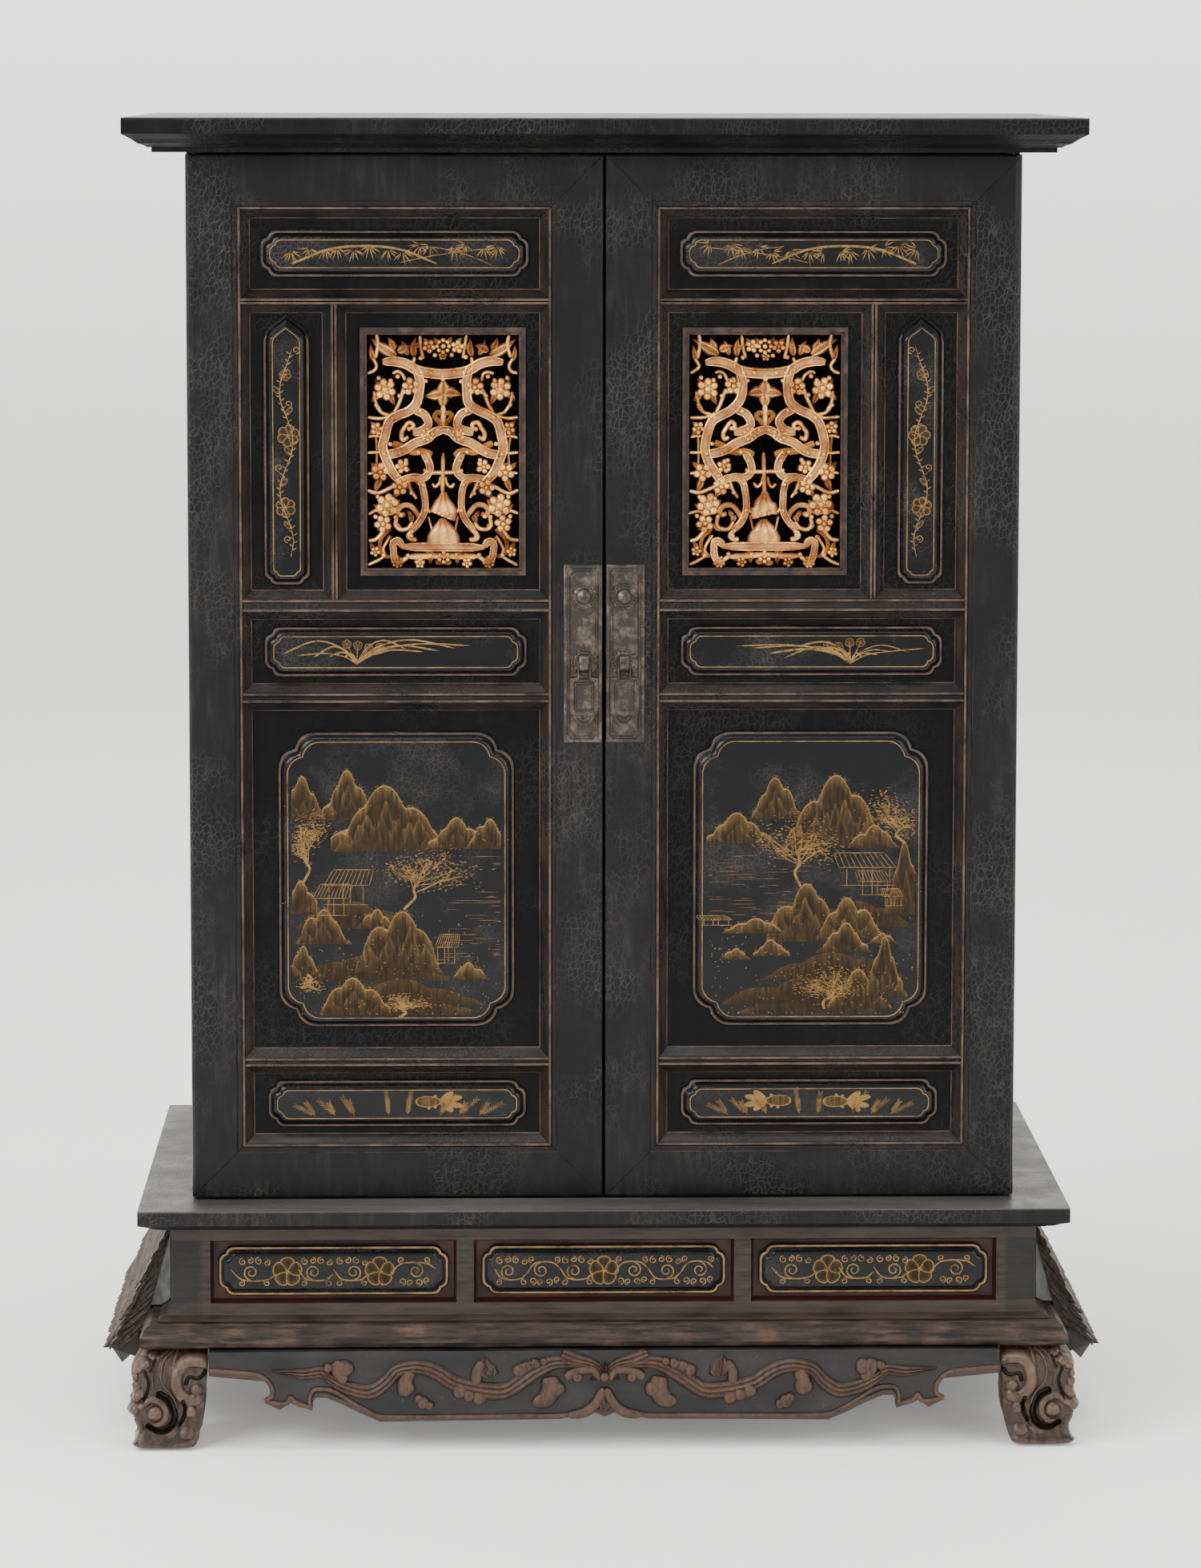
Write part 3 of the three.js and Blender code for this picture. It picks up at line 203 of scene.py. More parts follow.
# Profile of a boss from its rim to its middle: share of the radius, share of the rise
DOME = ((1, 0), (0.94, 0.45), (0.7, 0.85), (0.35, 0.98))


def swept(path, half, height, base, section):
    """Shell of a section carried along a path of (x, z), by its half width and height at each point."""
    tangent = np.gradient(path, axis=0)
    tangent /= np.linalg.norm(tangent, axis=1)[:, None] + 1e-9
    normal = np.stack([-tangent[:, 1], tangent[:, 0]], axis=1)
    cut = np.asarray(section, float)
    flat = path[:, None, :] + normal[:, None, :] * (half[:, None] * cut[None, :, 0])[:, :, None]
    return tube_shell(upright(flat, base - height[:, None] * cut[None, :, 1]), np.clip(cut[:, 1], 0, 1))


def stroke(points, width, rise, base, section=ROUND, count=None, taper=(0.5, 0.5)):
    """A carved or painted stroke: a section carried along a curve in the plane of the front.

    points are (x, z). width is the half width and rise the height, each one number or one for
    each point. base is the y of the ground. The width at the two ends falls to the shares in
    taper over the last tenth of the length.
    """
    count = count or int(np.clip(4 * len(points), 6, 40))
    along = np.linspace(0, 1, count)
    knots = np.linspace(0, 1, len(points))
    half, height = (np.interp(along, knots, np.broadcast_to(value, len(points)).astype(float))
                    for value in (width, rise))
    near = 1 - np.clip(along / 0.1, 0, 1) ** 0.5
    far = 1 - np.clip((1 - along) / 0.1, 0, 1) ** 0.5
    half = half * (1 - near * (1 - taper[0])) * (1 - far * (1 - taper[1]))
    return swept(smooth_path(points, count), half, height, base, section)


def leaf(start, end, width, rise, base, bend=0.0, section=VEINED, count=9, fullness=0.75):
    """A leaf from start to end: its half width follows a sine of the length, bent to one side."""
    start, end = np.asarray(start, float), np.asarray(end, float)
    along = np.linspace(0, 1, count)
    side = np.array([-(end - start)[1], (end - start)[0]])
    spine = start + np.outer(along, end - start) + np.outer(np.sin(np.pi * along) * bend, side)
    swell = np.sin(np.pi * np.clip(along, 0.02, 0.985) ** fullness)
    return swept(spine, width * swell, rise * (0.35 + 0.65 * swell), base, section)


def boss(centre, radius, rise, base, profile=DOME, lobes=0, depth=0.0, sides=18, turn=0.0, sink=0.1):
    """A turned or lobed boss: rings whose radius swells with a cosine of lobes times the angle."""
    angle = circle(sides)
    cut = np.asarray(((1, -sink), *profile), float)
    swell = 1 + depth * np.cos(lobes * angle + turn)[None, :] * np.clip(cut[:, :1] * 1.4, 0, 1)
    reach = radius * cut[:, :1] * swell
    flat = np.stack([centre[0] + reach * np.cos(angle), centre[1] + reach * np.sin(angle)], axis=-1)
    return tube_shell(upright(flat, base - rise * cut[:, 1:]), np.clip(cut[:, 1:], 0, 1))


def flower(centre, radius, rise, base, petals=5, turn=0.0):
    """Round petals about a middle: a boss for each petal and one on top."""
    size = radius * min(0.46, 2.1 / petals)
    places = [np.asarray(centre) + 0.62 * radius * toward(turn + angle) for angle in circle(petals)]
    return [*(boss(place, size, rise, base, sides=10, sink=0.6) for place in places),
            boss(centre, radius * 0.3, rise * 1.2, base, sides=10, sink=0.6)]


def spiral(centre, radius, turns, start_angle, inner=0.12, count=30, way=1):
    """Points of a spiral that closes in evenly from radius to inner times radius."""
    t = np.linspace(0, 1, count)
    angle = start_angle + way * 2 * math.pi * turns * t
    reach = radius * (1 - (1 - inner) * t)
    return np.stack([centre[0] + reach * np.cos(angle), centre[1] + reach * np.sin(angle)], axis=1)


def box_shell(x0, x1, y0, y1, z0, z1):
    """A plain block."""
    corners = np.array([(x, y, z) for x in (x0, x1) for y in (y0, y1) for z in (z0, z1)], float)
    quads = np.array([(0, 1, 3, 2), (4, 6, 7, 5), (0, 4, 5, 1), (2, 3, 7, 6), (0, 2, 6, 4), (1, 5, 7, 3)])
    return outward(corners, quads)


def window_shell(middle, outer, inner, y0, y1):
    """A block of half sizes `outer` about `middle`, with a through window of half sizes `inner`."""
    square = np.array([(-1, -1), (1, -1), (1, 1), (-1, 1)])
    loops = ((outer, y0), (inner, y0), (inner, y1), (outer, y1))
    rings = np.array([upright(square * half + middle, y) for half, y in loops])
    return outward(rings.reshape(-1, 3), grid_faces(5, 4) % 16)


def to_global(points, side):
    """Leaf millimetres to the shrine's millimetres; the right leaf is the left one mirrored."""
    return (points - (DOOR_HALF, -DOOR_FACE, -DOOR_FOOT)) * (-1 if side == "right" else 1, 1, 1)


def mirrored(shells, way=(-1, 1, 1)):
    """The same shells across a middle plane, with their faces turned back outwards."""
    return [(points * way, quads[:, ::-1], triangles[:, ::-1], shares)
            for points, quads, triangles, shares in shells]


def make_piece(name, shells, finish, body="root", side=None, crease=40, replaces=()):
    """Puts closed shells into one mesh at the origin, gives it a finish and lets it ride on a body."""
    starts = np.cumsum([0] + [len(shell[0]) for shell in shells])
    vertices, shares = (np.concatenate([shell[k] for shell in shells]) for k in (0, 3))
    quads, triangles = (np.vstack([shell[k] + start for shell, start in zip(shells, starts)])
                        for k in (1, 2))
    if side:
        vertices = to_global(vertices, side)
    if side == "right":
        quads, triangles = quads[:, ::-1], triangles[:, ::-1]
    mesh = bpy.data.meshes.new(name)
    corners = np.concatenate([quads.ravel(), triangles.ravel()])
    starts = np.concatenate([np.arange(len(quads)) * 4, len(quads) * 4 + np.arange(len(triangles)) * 3])
    mesh.vertices.add(len(vertices))
    mesh.vertices.foreach_set("co", (vertices * MM).astype(np.float32).ravel())
    mesh.loops.add(len(corners))
    mesh.loops.foreach_set("vertex_index", corners.astype(np.int32))
    mesh.polygons.add(len(starts))
    mesh.polygons.foreach_set("loop_start", starts.astype(np.int32))
    mesh.polygons.foreach_set("use_smooth", np.ones(len(starts), bool))
    mesh.update(calc_edges=True)
    if mesh.validate():
        raise ValueError(f"{name} has faces that Blender had to mend")
    layer = mesh.uv_layers.new(name="stroke")
    layer.data.foreach_set("uv", np.repeat(shares[corners], 2).astype(np.float32))
    mesh.set_sharp_from_angle(angle=math.radians(crease))
    mesh.materials.append(finish)
    piece = bpy.data.objects.new(name, mesh)
    bpy.context.scene.collection.objects.link(piece)
    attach(piece, body)
    if replaces:
        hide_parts(*replaces)
    return piece


# Finishes

# Node type, settings, sockets that the values go to in order, and the output that is used
NODE_KINDS = {
    "times": ("ShaderNodeMath", {"operation": "MULTIPLY"}, (0, 1), 0),
    "plus": ("ShaderNodeMath", {"operation": "ADD"}, (0, 1), 0),
    "larger": ("ShaderNodeMath", {"operation": "MAXIMUM"}, (0, 1), 0),
    "unsigned": ("ShaderNodeMath", {"operation": "ABSOLUTE"}, (0,), 0),
    "ramp": ("ShaderNodeMapRange", {}, (0, 1, 2, 3, 4), 0),
    "tint": ("ShaderNodeMix", {"data_type": "RGBA"}, (0, 6, 7), 2),
    "place": ("ShaderNodeTexCoord", {}, (), 3),
    "uv": ("ShaderNodeUVMap", {"uv_map": "stroke"}, (), 0),
    "x of": ("ShaderNodeSeparateXYZ", {}, (0,), 0),
    "y of": ("ShaderNodeSeparateXYZ", {}, (0,), 1),
    "z of": ("ShaderNodeSeparateXYZ", {}, (0,), 2),
    "stretch": ("ShaderNodeMapping", {}, ("Vector", "Scale"), 0),
    "shift": ("ShaderNodeVectorMath", {"operation": "MULTIPLY_ADD"}, (0, 1, 2), 0),
    "noise": ("ShaderNodeTexNoise", {}, ("Vector", "Scale", "Detail", "Roughness"), 0),
    "cell edges": ("ShaderNodeTexVoronoi", {"feature": "DISTANCE_TO_EDGE"},
                   ("Vector", "Scale", "Randomness"), 0),
    "bump": ("ShaderNodeBump", {}, ("Strength", "Distance", "Height"), 0),
}


def add_node(tree, kind, *values):
    """Adds a shader node of a kind above, sets or links its inputs in order, and returns its output."""
    type_name, settings, sockets, output = NODE_KINDS[kind]
    node = tree.nodes.new(type_name)
    for name, setting in settings.items():
        setattr(node, name, setting)
    for socket, value in zip(sockets, values):
        set_socket(tree, node, socket, value)
    return node.outputs[output]


def set_socket(tree, node, socket, value):
    """Links an output into a socket, or sets its value. A text is a hex value or a colour of the shrine."""
    if isinstance(value, bpy.types.NodeSocket):
        tree.links.new(value, node.inputs[socket])
        return
    if isinstance(value, str):
        own = bpy.context.scene.shrine_colours
        value = linear(value) if value.startswith("#") else tuple(getattr(own, value))
    node.inputs[socket].default_value = value


def start_finish(name):
    """A new material, its way to add nodes, its Object coordinates, and its own lumps and patches."""
    material = bpy.data.materials.new(name)
    material.use_nodes = True
    add = partial(add_node, material.node_tree)
    place = add("place")
    return material, add, place, partial(lumps_over, add, place), partial(patches_over, add, place)


def end_finish(material, values):
    """Sets or links the shader's own sockets by name."""
    tree = material.node_tree
    for socket, value in values.items():
        set_socket(tree, tree.nodes["Principled BSDF"], socket, value)
    return material


def end_wood(material, add, colour, clouds, rough, height, strength=0.5, deep=0.0005, shine=0.3):
    """Ends a finish on wood: its clouds set the roughness between two values, its grain the bump."""
    return end_finish(material, {"Base Color": colour, "Specular IOR Level": shine,
                                 "Roughness": add("ramp", clouds, 0.35, 0.65, *rough),
                                 "Normal": add("bump", strength, deep, height)})


def lumps_over(add, place, size, detail=4.0, stretch=(1, 1, 1), roughness=0.55):
    """Cloudy pattern with lumps about `size` metres across, longer on an axis that `stretch` shrinks."""
    return add("noise", add("stretch", place, stretch), 1 / size, detail, roughness)


def patches_over(add, place, size, detail, *ends, stretch=(1, 1, 1), roughness=0.55):
    """Lumps drawn apart into spots: `ends` are the pattern's two levels and what each becomes."""
    return add("ramp", lumps_over(add, place, size, detail, stretch, roughness), *ends)


def band(add, value, start, full, fall, end):
    """1 where a value is between `full` and `fall`, and 0 before `start` and past `end`."""
    return add("times", add("ramp", value, start, full), add("ramp", value, fall, end, 1.0, 0.0))


def crackle(add, place, along_grain):
    """Cracks between the fields of dried lacquer: 1 on a crack, 0 in a field, broken up by noise."""
    size = bpy.context.scene.shrine_sizes.crackle
    bent = lumps_over(add, place, size * 2.5, 2.0)
    moved = add("shift", bent, (0.004, 0.004, 0.004), place)
    edges = add("cell edges", add("stretch", moved, (1.0, 1.0, along_grain)), 1 / size, 0.85)
    return add("ramp", edges, 0.0, 0.09, 1.0, 0.0)


def rubbed_mouldings(add, place, patches, colour):
    """Adds rubbed gilding on the crests of the door mouldings and brown undercoat on their slopes, both
    found by the depth behind the door face. The outer and the meeting edges of the leaves are left out."""
    depth = add("plus", add("y of", place), -DOOR_FACE * MM)
    across = add("unsigned", add("x of", place))
    inside = add("times", add("ramp", across, 0.322, 0.324, 1.0, 0.0), add("ramp", across, 0.020, 0.022))
    crest = band(add, depth, 0.0003, 0.0004, 0.0006, 0.0009)
    foot = band(add, depth, 0.0086, 0.0090, 0.0095, 0.0098)
    rub = patches(0.03, 6.0, 0.38, 0.62, 0.1, 0.85, roughness=0.75)
    streak = patches(0.012, 5.0, 0.42, 0.66, stretch=(0.2, 1, 0.2), roughness=0.7)
    slope = add("times", add("ramp", depth, 0.0011, 0.0024), add("times", streak, 0.8))
    colour = add("tint", add("times", inside, slope), colour, "undercoat")
    lines = add("times", add("larger", crest, foot), add("times", inside, rub))
    return add("tint", lines, colour, "gold_line")


def black_lacquer(name, wear, painted_shade_level=1.0, moulding=False, dusty_from=None):
    """Old black lacquer on wood, brushed on and rubbed: nearly black, satin, with a net of fine cracks
    and grey scuffs. `dusty_from` gives the heights between which dust starts to show."""
    material, add, place, lumps, patches = start_finish(name)
    cracks = add("times", crackle(add, place, 0.62), patches(0.09, 5.0, 0.44, 0.60))
    clouds = patches(0.07, 7.0, 0.40, 0.66, stretch=(1.0, 1.0, 0.5), roughness=0.68)
    scratches = patches(0.005, 4.0, 0.48, 0.72, 0.25, 1.0, stretch=(1.0, 1.0, 0.14))
    colour = add("tint", add("times", add("times", clouds, wear), scratches), "lacquer", "lacquer_worn")
    colour = add("tint", add("times", cracks, 0.3), colour, "#4c4945")
    flakes = patches(0.009, 5.0, 0.68, 0.72, roughness=0.75)
    colour = add("tint", add("times", flakes, wear), colour, "bare_wood")
    # Painted shade: a level below 1 darkens the whole colour toward black, and weakens the specular below
    # with it.
    colour = add("tint", painted_shade_level, "#000000", colour)
    if moulding:
        colour = rubbed_mouldings(add, place, patches, colour)
    if dusty_from:
        top = add("ramp", add("z of", place), *dusty_from)
        lying = patches(0.05, 6.0, 0.35, 0.7, 0.35, 1.0, stretch=(0.2, 1, 1))
        colour = add("tint", add("times", top, lying), colour, "#53504b")
    grain = lumps(0.0022, 3.0, (1, 1, 0.35))
    height = add("plus", add("times", cracks, -0.8), add("times", grain, 0.3))
    height = add("plus", height, add("times", lumps(0.02), 1.2))
    return end_finish(material, {"Base Color": colour, "Roughness": patches(0.03, 4.0, 0.3, 0.7, 0.32, 0.52),
                                 "Specular IOR Level": 0.15 * painted_shade_level, "Coat Weight": 0.04,
                                 "Coat Roughness": 0.2, "Normal": add("bump", 0.6, 0.0008, height)})


def gloss_lacquer(name, gold_from):
    """Polished black lacquer of the cartouches: deep black, glossy, faintly crackled. The uv map gives
    the inset from the rim in millimetres, which places the rubbed brown rim and the thin gold line."""
    material, add, place, lumps, patches = start_finish(name)
    clouds = patches(0.05, 5.0, 0.5, 0.68)
    cracks = add("times", crackle(add, place, 1.0), clouds)
    colour = add("tint", add("times", clouds, 0.3), "lacquer", "lacquer_worn")
    colour = add("tint", add("times", cracks, 0.35), colour, "#4c4843")
    inset = add("x of", add("uv"))
    rub = patches(0.02, 6.0, 0.34, 0.58, 0.2, 1.0, roughness=0.75)
    rim = band(add, inset, 0.3, 0.9, 1.8, 2.6)
    line = band(add, inset, gold_from[0] - 0.2, gold_from[0], gold_from[1], gold_from[1] + 0.2)
    colour = add("tint", add("times", add("times", rim, rub), 0.75), colour, "#5a463b")
    colour = add("tint", add("times", line, rub), colour, "gold_paint")
    bump = add("bump", 0.4, 0.0006, add("times", cracks, -0.6))
    return end_finish(material, {"Base Color": colour, "Roughness": patches(0.02, 4.0, 0.3, 0.7, 0.10, 0.26),
                                 "Specular IOR Level": 0.15, "Coat Weight": 0.12, "Coat Roughness": 0.08,
                                 "Normal": bump})


def gold_paint(name, washed=False):
    """Gold powder laid on lacquer with a brush: dull yellow-brown, finely grained and worn through in
    spots. A wash fades from the outline at v = 1 of the uv map, with fine brushed texture lines."""
    material, add, place, lumps, patches = start_finish(name)
    cover = worn = patches(0.006, 6.0, 0.30, 0.56, roughness=0.75)
    if washed:
        up = add("x of", add("uv"))
        fade = add("plus", add("times", add("times", up, up), 0.55), 0.09)
        brushed = patches(0.0022, 3.0, 0.36, 0.64, 0.3, 1.1, stretch=(1, 1, 0.12))
        cover = add("larger", add("times", fade, brushed), add("ramp", up, 0.86, 0.93, 0.0, 0.9))
        cover = add("times", cover, add("ramp", worn, 0.0, 1.0, 0.6, 1.0))
    return end_finish(material, {"Base Color": add("tint", cover, "#120e0a", "gold_paint"),
                                 "Metallic": add("times", cover, 0.3), "Specular IOR Level": 0.12,
                                 "Roughness": patches(0.004, 3.0, 0.3, 0.7, 0.42, 0.6)})


def gold_leaf(name, front, back):
    """Gold leaf over red-brown bole on carved wood: bright on the crests, rubbed to bole in the grooves
    and darkened toward near black at the back as painted shade, by the share of the height in the uv map and
    the depth."""
    material, add, place, lumps, patches = start_finish(name)
    high = add("ramp", add("y of", place), back * MM, front * MM)
    crest = add("ramp", add("x of", add("uv")), 0.55, 0.95, 0.25, 1.0)
    worn = lumps(0.009, 6.0, roughness=0.72)
    kept = add("times", add("ramp", add("plus", worn, add("times", high, 0.45)), 0.46, 0.80), crest)
    # Painted shade: the bole darkens toward near black at the back of the carving.
    bole = add("tint", add("ramp", high, 0.0, 0.5), "#20130e", "bole")
    bright = add("tint", patches(0.016, 4.0, 0.42, 0.62), "gold_leaf", "#a97036")
    return end_finish(material, {"Base Color": add("tint", kept, bole, bright),
                                 "Roughness": patches(0.003, 3.0, 0.3, 0.7, 0.2, 0.38),
                                 "Metallic": add("times", kept, 0.8),
                                 "Normal": add("bump", 0.5, 0.0005, lumps(0.0028))})


def worn_wood(name, base, dark, light, along=(0.12, 1.0, 1.0), grain=0.0045, patch=0.05):
    """Old bare or thinly stained wood: long grain with dark pores, rubbed lighter in cloudy patches.
    `along` is small on the axis that the grain follows."""
    material, add, place, lumps, patches = start_finish(name)
    fibres = lumps(grain, 5.0, along, 0.65)
    clouds = lumps(patch, 5.0, roughness=0.6)
    colour = add("tint", add("ramp", fibres, 0.38, 0.62), dark, base)
    rubbed = add("times", add("ramp", clouds, 0.46, 0.66), add("ramp", fibres, 0.4, 0.6))
    return end_wood(material, add, add("tint", rubbed, colour, light), clouds, (0.45, 0.7), fibres,
                    0.6, 0.0006, 0.25)


def dark_bronze(name):
    """Patinated copper alloy of the fittings: brown-black with rubbed warm spots, satin."""
    material, add, place, lumps, patches = start_finish(name)
    spots = lumps(0.008, 6.0, roughness=0.7)
    colour = add("tint", add("ramp", spots, 0.48, 0.72), "bronze", "#6e6052")
    return end_finish(material, {"Base Color": colour, "Metallic": 0.6,
                                 "Roughness": add("ramp", spots, 0.3, 0.7, 0.46, 0.3),
                                 "Normal": add("bump", 0.35, 0.0003, lumps(0.0016))})


def carved_wood(name, base, light, dark, grain, rough=(0.42, 0.66), low=0.45):
    """Carved wood that has lost most of its lacquer: dark in the cuts as painted shade and rubbed pale on
    the crests, by the share of the height in the uv map, over cloudy grain."""
    material, add, place, lumps, patches = start_finish(name)
    fibres = lumps(grain, 5.0, (1.0, 1.0, 0.4), 0.65)
    clouds = lumps(0.03, 5.0, roughness=0.65)
    high = add("x of", add("uv"))
    worn = add("times", add("ramp", high, low + 0.2, 1.0), add("ramp", clouds, 0.35, 0.6, 0.3, 1.0))
    colour = add("tint", add("ramp", fibres, 0.35, 0.62), dark, base)
    colour = add("tint", add("times", worn, add("ramp", fibres, 0.3, 0.62, 0.4, 1.0)), colour, light)
    # Painted shade: where the share is low, in the cuts, the colour goes toward the dark tone.
    colour = add("tint", add("ramp", high, low - 0.1, low + 0.2, 0.85, 0.0), colour, dark)
    height = add("plus", fibres, add("times", lumps(0.012, 3.0), 0.8))
    return end_wood(material, add, colour, clouds, rough, height, 0.35, 0.0006)


# Boards and mouldings

# In metres: heights between which dust starts to show on the two tops, distance from the middle at
# which the waist's black end posts start, and heights at which its sunk pockets start and end
CORNICE_DUST = (1.0885, 1.0899)
STAND_DUST = (0.1975, 0.1989)
POST_EDGE = (0.330, 0.334)
POCKET_FOOT = 0.1163
POCKET_HEAD = 0.1685


def waist_finish(name):
    """Rubbed lacquer of the waist: black posts, brown rubbed rails and sills, and cinnabar red in the
    sunk pockets behind the cartouches, found by their depth."""
    material, add, place, lumps, patches = start_finish(name)
    fibres = lumps(0.0045, 5.0, (0.12, 0.12, 1.0), 0.65)
    clouds = lumps(0.035, 5.0, (0.5, 0.5, 1.0), 0.65)
    colour = add("tint", add("ramp", fibres, 0.36, 0.62), "#0f0c0b", "#352a23")
    posts = add("ramp", add("unsigned", add("x of", place)), *POST_EDGE)
    colour = add("tint", add("times", posts, 0.8), colour, "#0c0c0d")
    z = add("z of", place)
    sill = add("larger", add("ramp", z, POCKET_FOOT, POCKET_FOOT + 0.0012, 1.0, 0.0),
               add("ramp", z, POCKET_HEAD, POCKET_HEAD + 0.0015))
    rubbed = add("times", add("times", sill, add("ramp", clouds, 0.34, 0.6, 0.25, 1.0)),
                 add("ramp", fibres, 0.3, 0.6, 0.3, 1.0))
    colour = add("tint", rubbed, colour, "bare_wood")
    spots = patches(0.02, 6.0, 0.56, 0.68, roughness=0.75)
    colour = add("tint", add("times", spots, 0.6), colour, "undercoat")
    sunk = band(add, add("y of", place), (WAIST_FACE + 0.8) * MM, (WAIST_FACE + 1.6) * MM,
                (WAIST_POCKET_FLOOR + 0.5) * MM, (WAIST_POCKET_FLOOR + 1.5) * MM)
    red = add("times", sunk, add("ramp", z, POCKET_FOOT, POCKET_FOOT + 0.0005))
    red = add("times", red, add("ramp", z, POCKET_HEAD, POCKET_HEAD + 0.0005, 1.0, 0.0))
    old_red = add("tint", add("ramp", clouds, 0.42, 0.66), "cinnabar", "#150807")
    return end_wood(material, add, add("tint", red, colour, old_red), clouds, (0.38, 0.62), fibres)


def apron_finish(name):
    """Black lacquer ground of the apron, with the raised bead along its lower edge rubbed to brown."""
    material, add, place, lumps, patches = start_finish(name)
    clouds = lumps(0.03, 6.0, (0.4, 1.0, 1.0), 0.65)
    fibres = lumps(0.0045, 5.0, (0.12, 1.0, 1.0), 0.65)
    colour = add("tint", add("ramp", clouds, 0.4, 0.7), "#121213", "#2b2827")
    flakes = patches(0.007, 5.0, 0.64, 0.70, roughness=0.75)
    colour = add("tint", add("times", flakes, 0.6), colour, "#524d48")
    bead = add("ramp", add("y of", place), (APRON_FACE - 1.1) * MM, (APRON_FACE - 0.7) * MM, 1.0, 0.0)
    brown = add("tint", add("ramp", fibres, 0.36, 0.62), "#2c211c", "bare_wood")
    return end_wood(material, add, add("tint", bead, colour, brown), clouds, (0.36, 0.58), fibres)


class SHRINE_OT_joinery(bpy.types.Operator):
    """Finishes of the boards, stiles, rails and mouldings"""
    bl_idname = "shrine.joinery"
    bl_label = "Joinery finishes"

    def execute(self, context):
        leaves = black_lacquer("black lacquer, gilded mouldings", 0.8, moulding=True)
        boards = black_lacquer("black lacquer, boards", 0.9)
        # The panel grounds are a half-dark copy of the lacquer: painted shade in the recesses.
        grounds = black_lacquer("black lacquer, panel grounds", 0.5, 0.5)
        waist = waist_finish("rubbed lacquer, waist")
        bare = worn_wood("bare wood, back and shelf", "#4a3a2e", "#2a201a", "#5f4c3d", (1.0, 1.0, 0.1),
                         0.0035)
        finishes = {
            # The cornice is a darker copy of the lacquer: painted shade.
            "cornice_board": black_lacquer("black lacquer, cornice", 0.6, 0.75, dusty_from=CORNICE_DUST),
            "stand_top": black_lacquer("black lacquer, stand top", 0.9, dusty_from=STAND_DUST),
            "base_moulding": worn_wood("brown rubbed lacquer, mouldings", "#32261f", "#110d0b", "#523f33",
                                       patch=0.035),
            "apron_front": apron_finish("black lacquer, apron"),
            **dict.fromkeys(("cabinet_back", "cabinet_shelf"), bare),
            **dict.fromkeys(("waist_front", "waist_back", "waist_side_left", "waist_side_right"), waist),
        }
        for name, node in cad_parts.items():
            usual = leaves if "_door_" in name else boards
            finish = finishes.get(name, grounds if name.endswith("_panel") else usual)
            for material_slot in node.material_slots:
                material_slot.material = finish
        return {"FINISHED"}


# Cartouches

# Middle in the leaf, width and height, reach of the corner lobes, depth of their cusp, arch
DOOR_CARTOUCHES = {
    "top": (TOP_PANEL, (218, 38), 13, 6, 0),
    "narrow": (NARROW_PANEL, (37.5, 218), 10, 4.5, 20),
    "middle": (MIDDLE_PANEL, (215, 41), 13, 6, 0),
    "landscape": (LARGE_PANEL, (194, 245), 30, 14, 0),
    "bottom": (BOTTOM_PANEL, (213, 39), 13, 6, 0),
}
WAIST_CARTOUCHES = {"left": (-223, 189), "center": (0, 201), "right": (223, 189)}  # middle, width
WAIST_CARTOUCHE = (40.7, 12, 5.5, 0)  # height, reach of the lobes, depth of their cusp, arch
WAIST_CARTOUCHE_GROUND = WAIST_POCKET_FLOOR - 1.9

# Inset from the rim and rise above the ground, from the ground to the field
CARTOUCHE_RISE = ((-0.5, -0.4), (-0.5, 1.3), (-0.2, 2.0), (0.4, 2.5), (1.2, 2.75), (2.0, 2.55),
                  (2.6, 2.35), (3.3, 2.95), (4.3, 4.35), (5.3, 5.3), (6.4, 5.8), (7.4, 5.95),
                  (8.6, 5.95), (9.4, 5.95))
FIELD_RISE = CARTOUCHE_RISE[-1][1]


def lobed_corner(x, z, lobe, cusp, sign_x, sign_z, steps=7):
    """Corner of a cartouche: two equal arcs that meet in an inward cusp on the diagonal."""
    radius = ((lobe - cusp) ** 2 + cusp ** 2) / (2 * cusp)
    sweep = math.atan2(lobe - cusp, radius - cusp)
    angle = np.linspace(math.pi / 2, math.pi / 2 - sweep, steps)
    first = np.stack([-lobe + radius * np.cos(angle), -radius + radius * np.sin(angle)], axis=1)
    corner = np.vstack([first, first[::-1, ::-1][1:]])
    placed = np.stack([sign_x * (x + corner[:, 0]), sign_z * (z + corner[:, 1])], axis=1)
    return placed if sign_x * sign_z > 0 else placed[::-1]


def cartouche_outline(size, lobe, cusp, arch, inset):
    """Outline of a cartouche drawn in by an inset, clockwise; an arch stands in for its upper corners."""
    x, z = size[0] / 2 - inset, size[1] / 2 - inset
    reach = lobe - 0.45 * inset
    depth = cusp * reach / lobe
    corners = [lobed_corner(x, z, reach, depth, *way) for way in ((1, 1), (1, -1), (-1, -1), (-1, 1))]
    if not arch:
        return np.vstack(corners)
    high = arch * x / (size[0] / 2)
    shares = smooth_path([(0, 1), (0.16, 0.86), (0.42, 0.68), (0.78, 0.42), (0.96, 0.18), (1, 0)], 11)
    right = np.stack([shares[:, 0] * x, z - high + shares[:, 1] * high], axis=1)
    return np.vstack([right, *corners[1:3], (right * (-1, 1))[:0:-1]])


def cartouche_piece(name, middle, size, lobe, cusp, arch, ground, finish, body, side=None):
    """Raised cartouche: rings of its outline, drawn in and brought forward from the ground."""
    rings = [upright(cartouche_outline(size, lobe, cusp, arch, inset) + middle, ground - rise)
             for inset, rise in CARTOUCHE_RISE]
    shell = tube_shell(rings, np.array(CARTOUCHE_RISE)[:, :1])
    return make_piece(name, [shell], finish, body, side, crease=50)


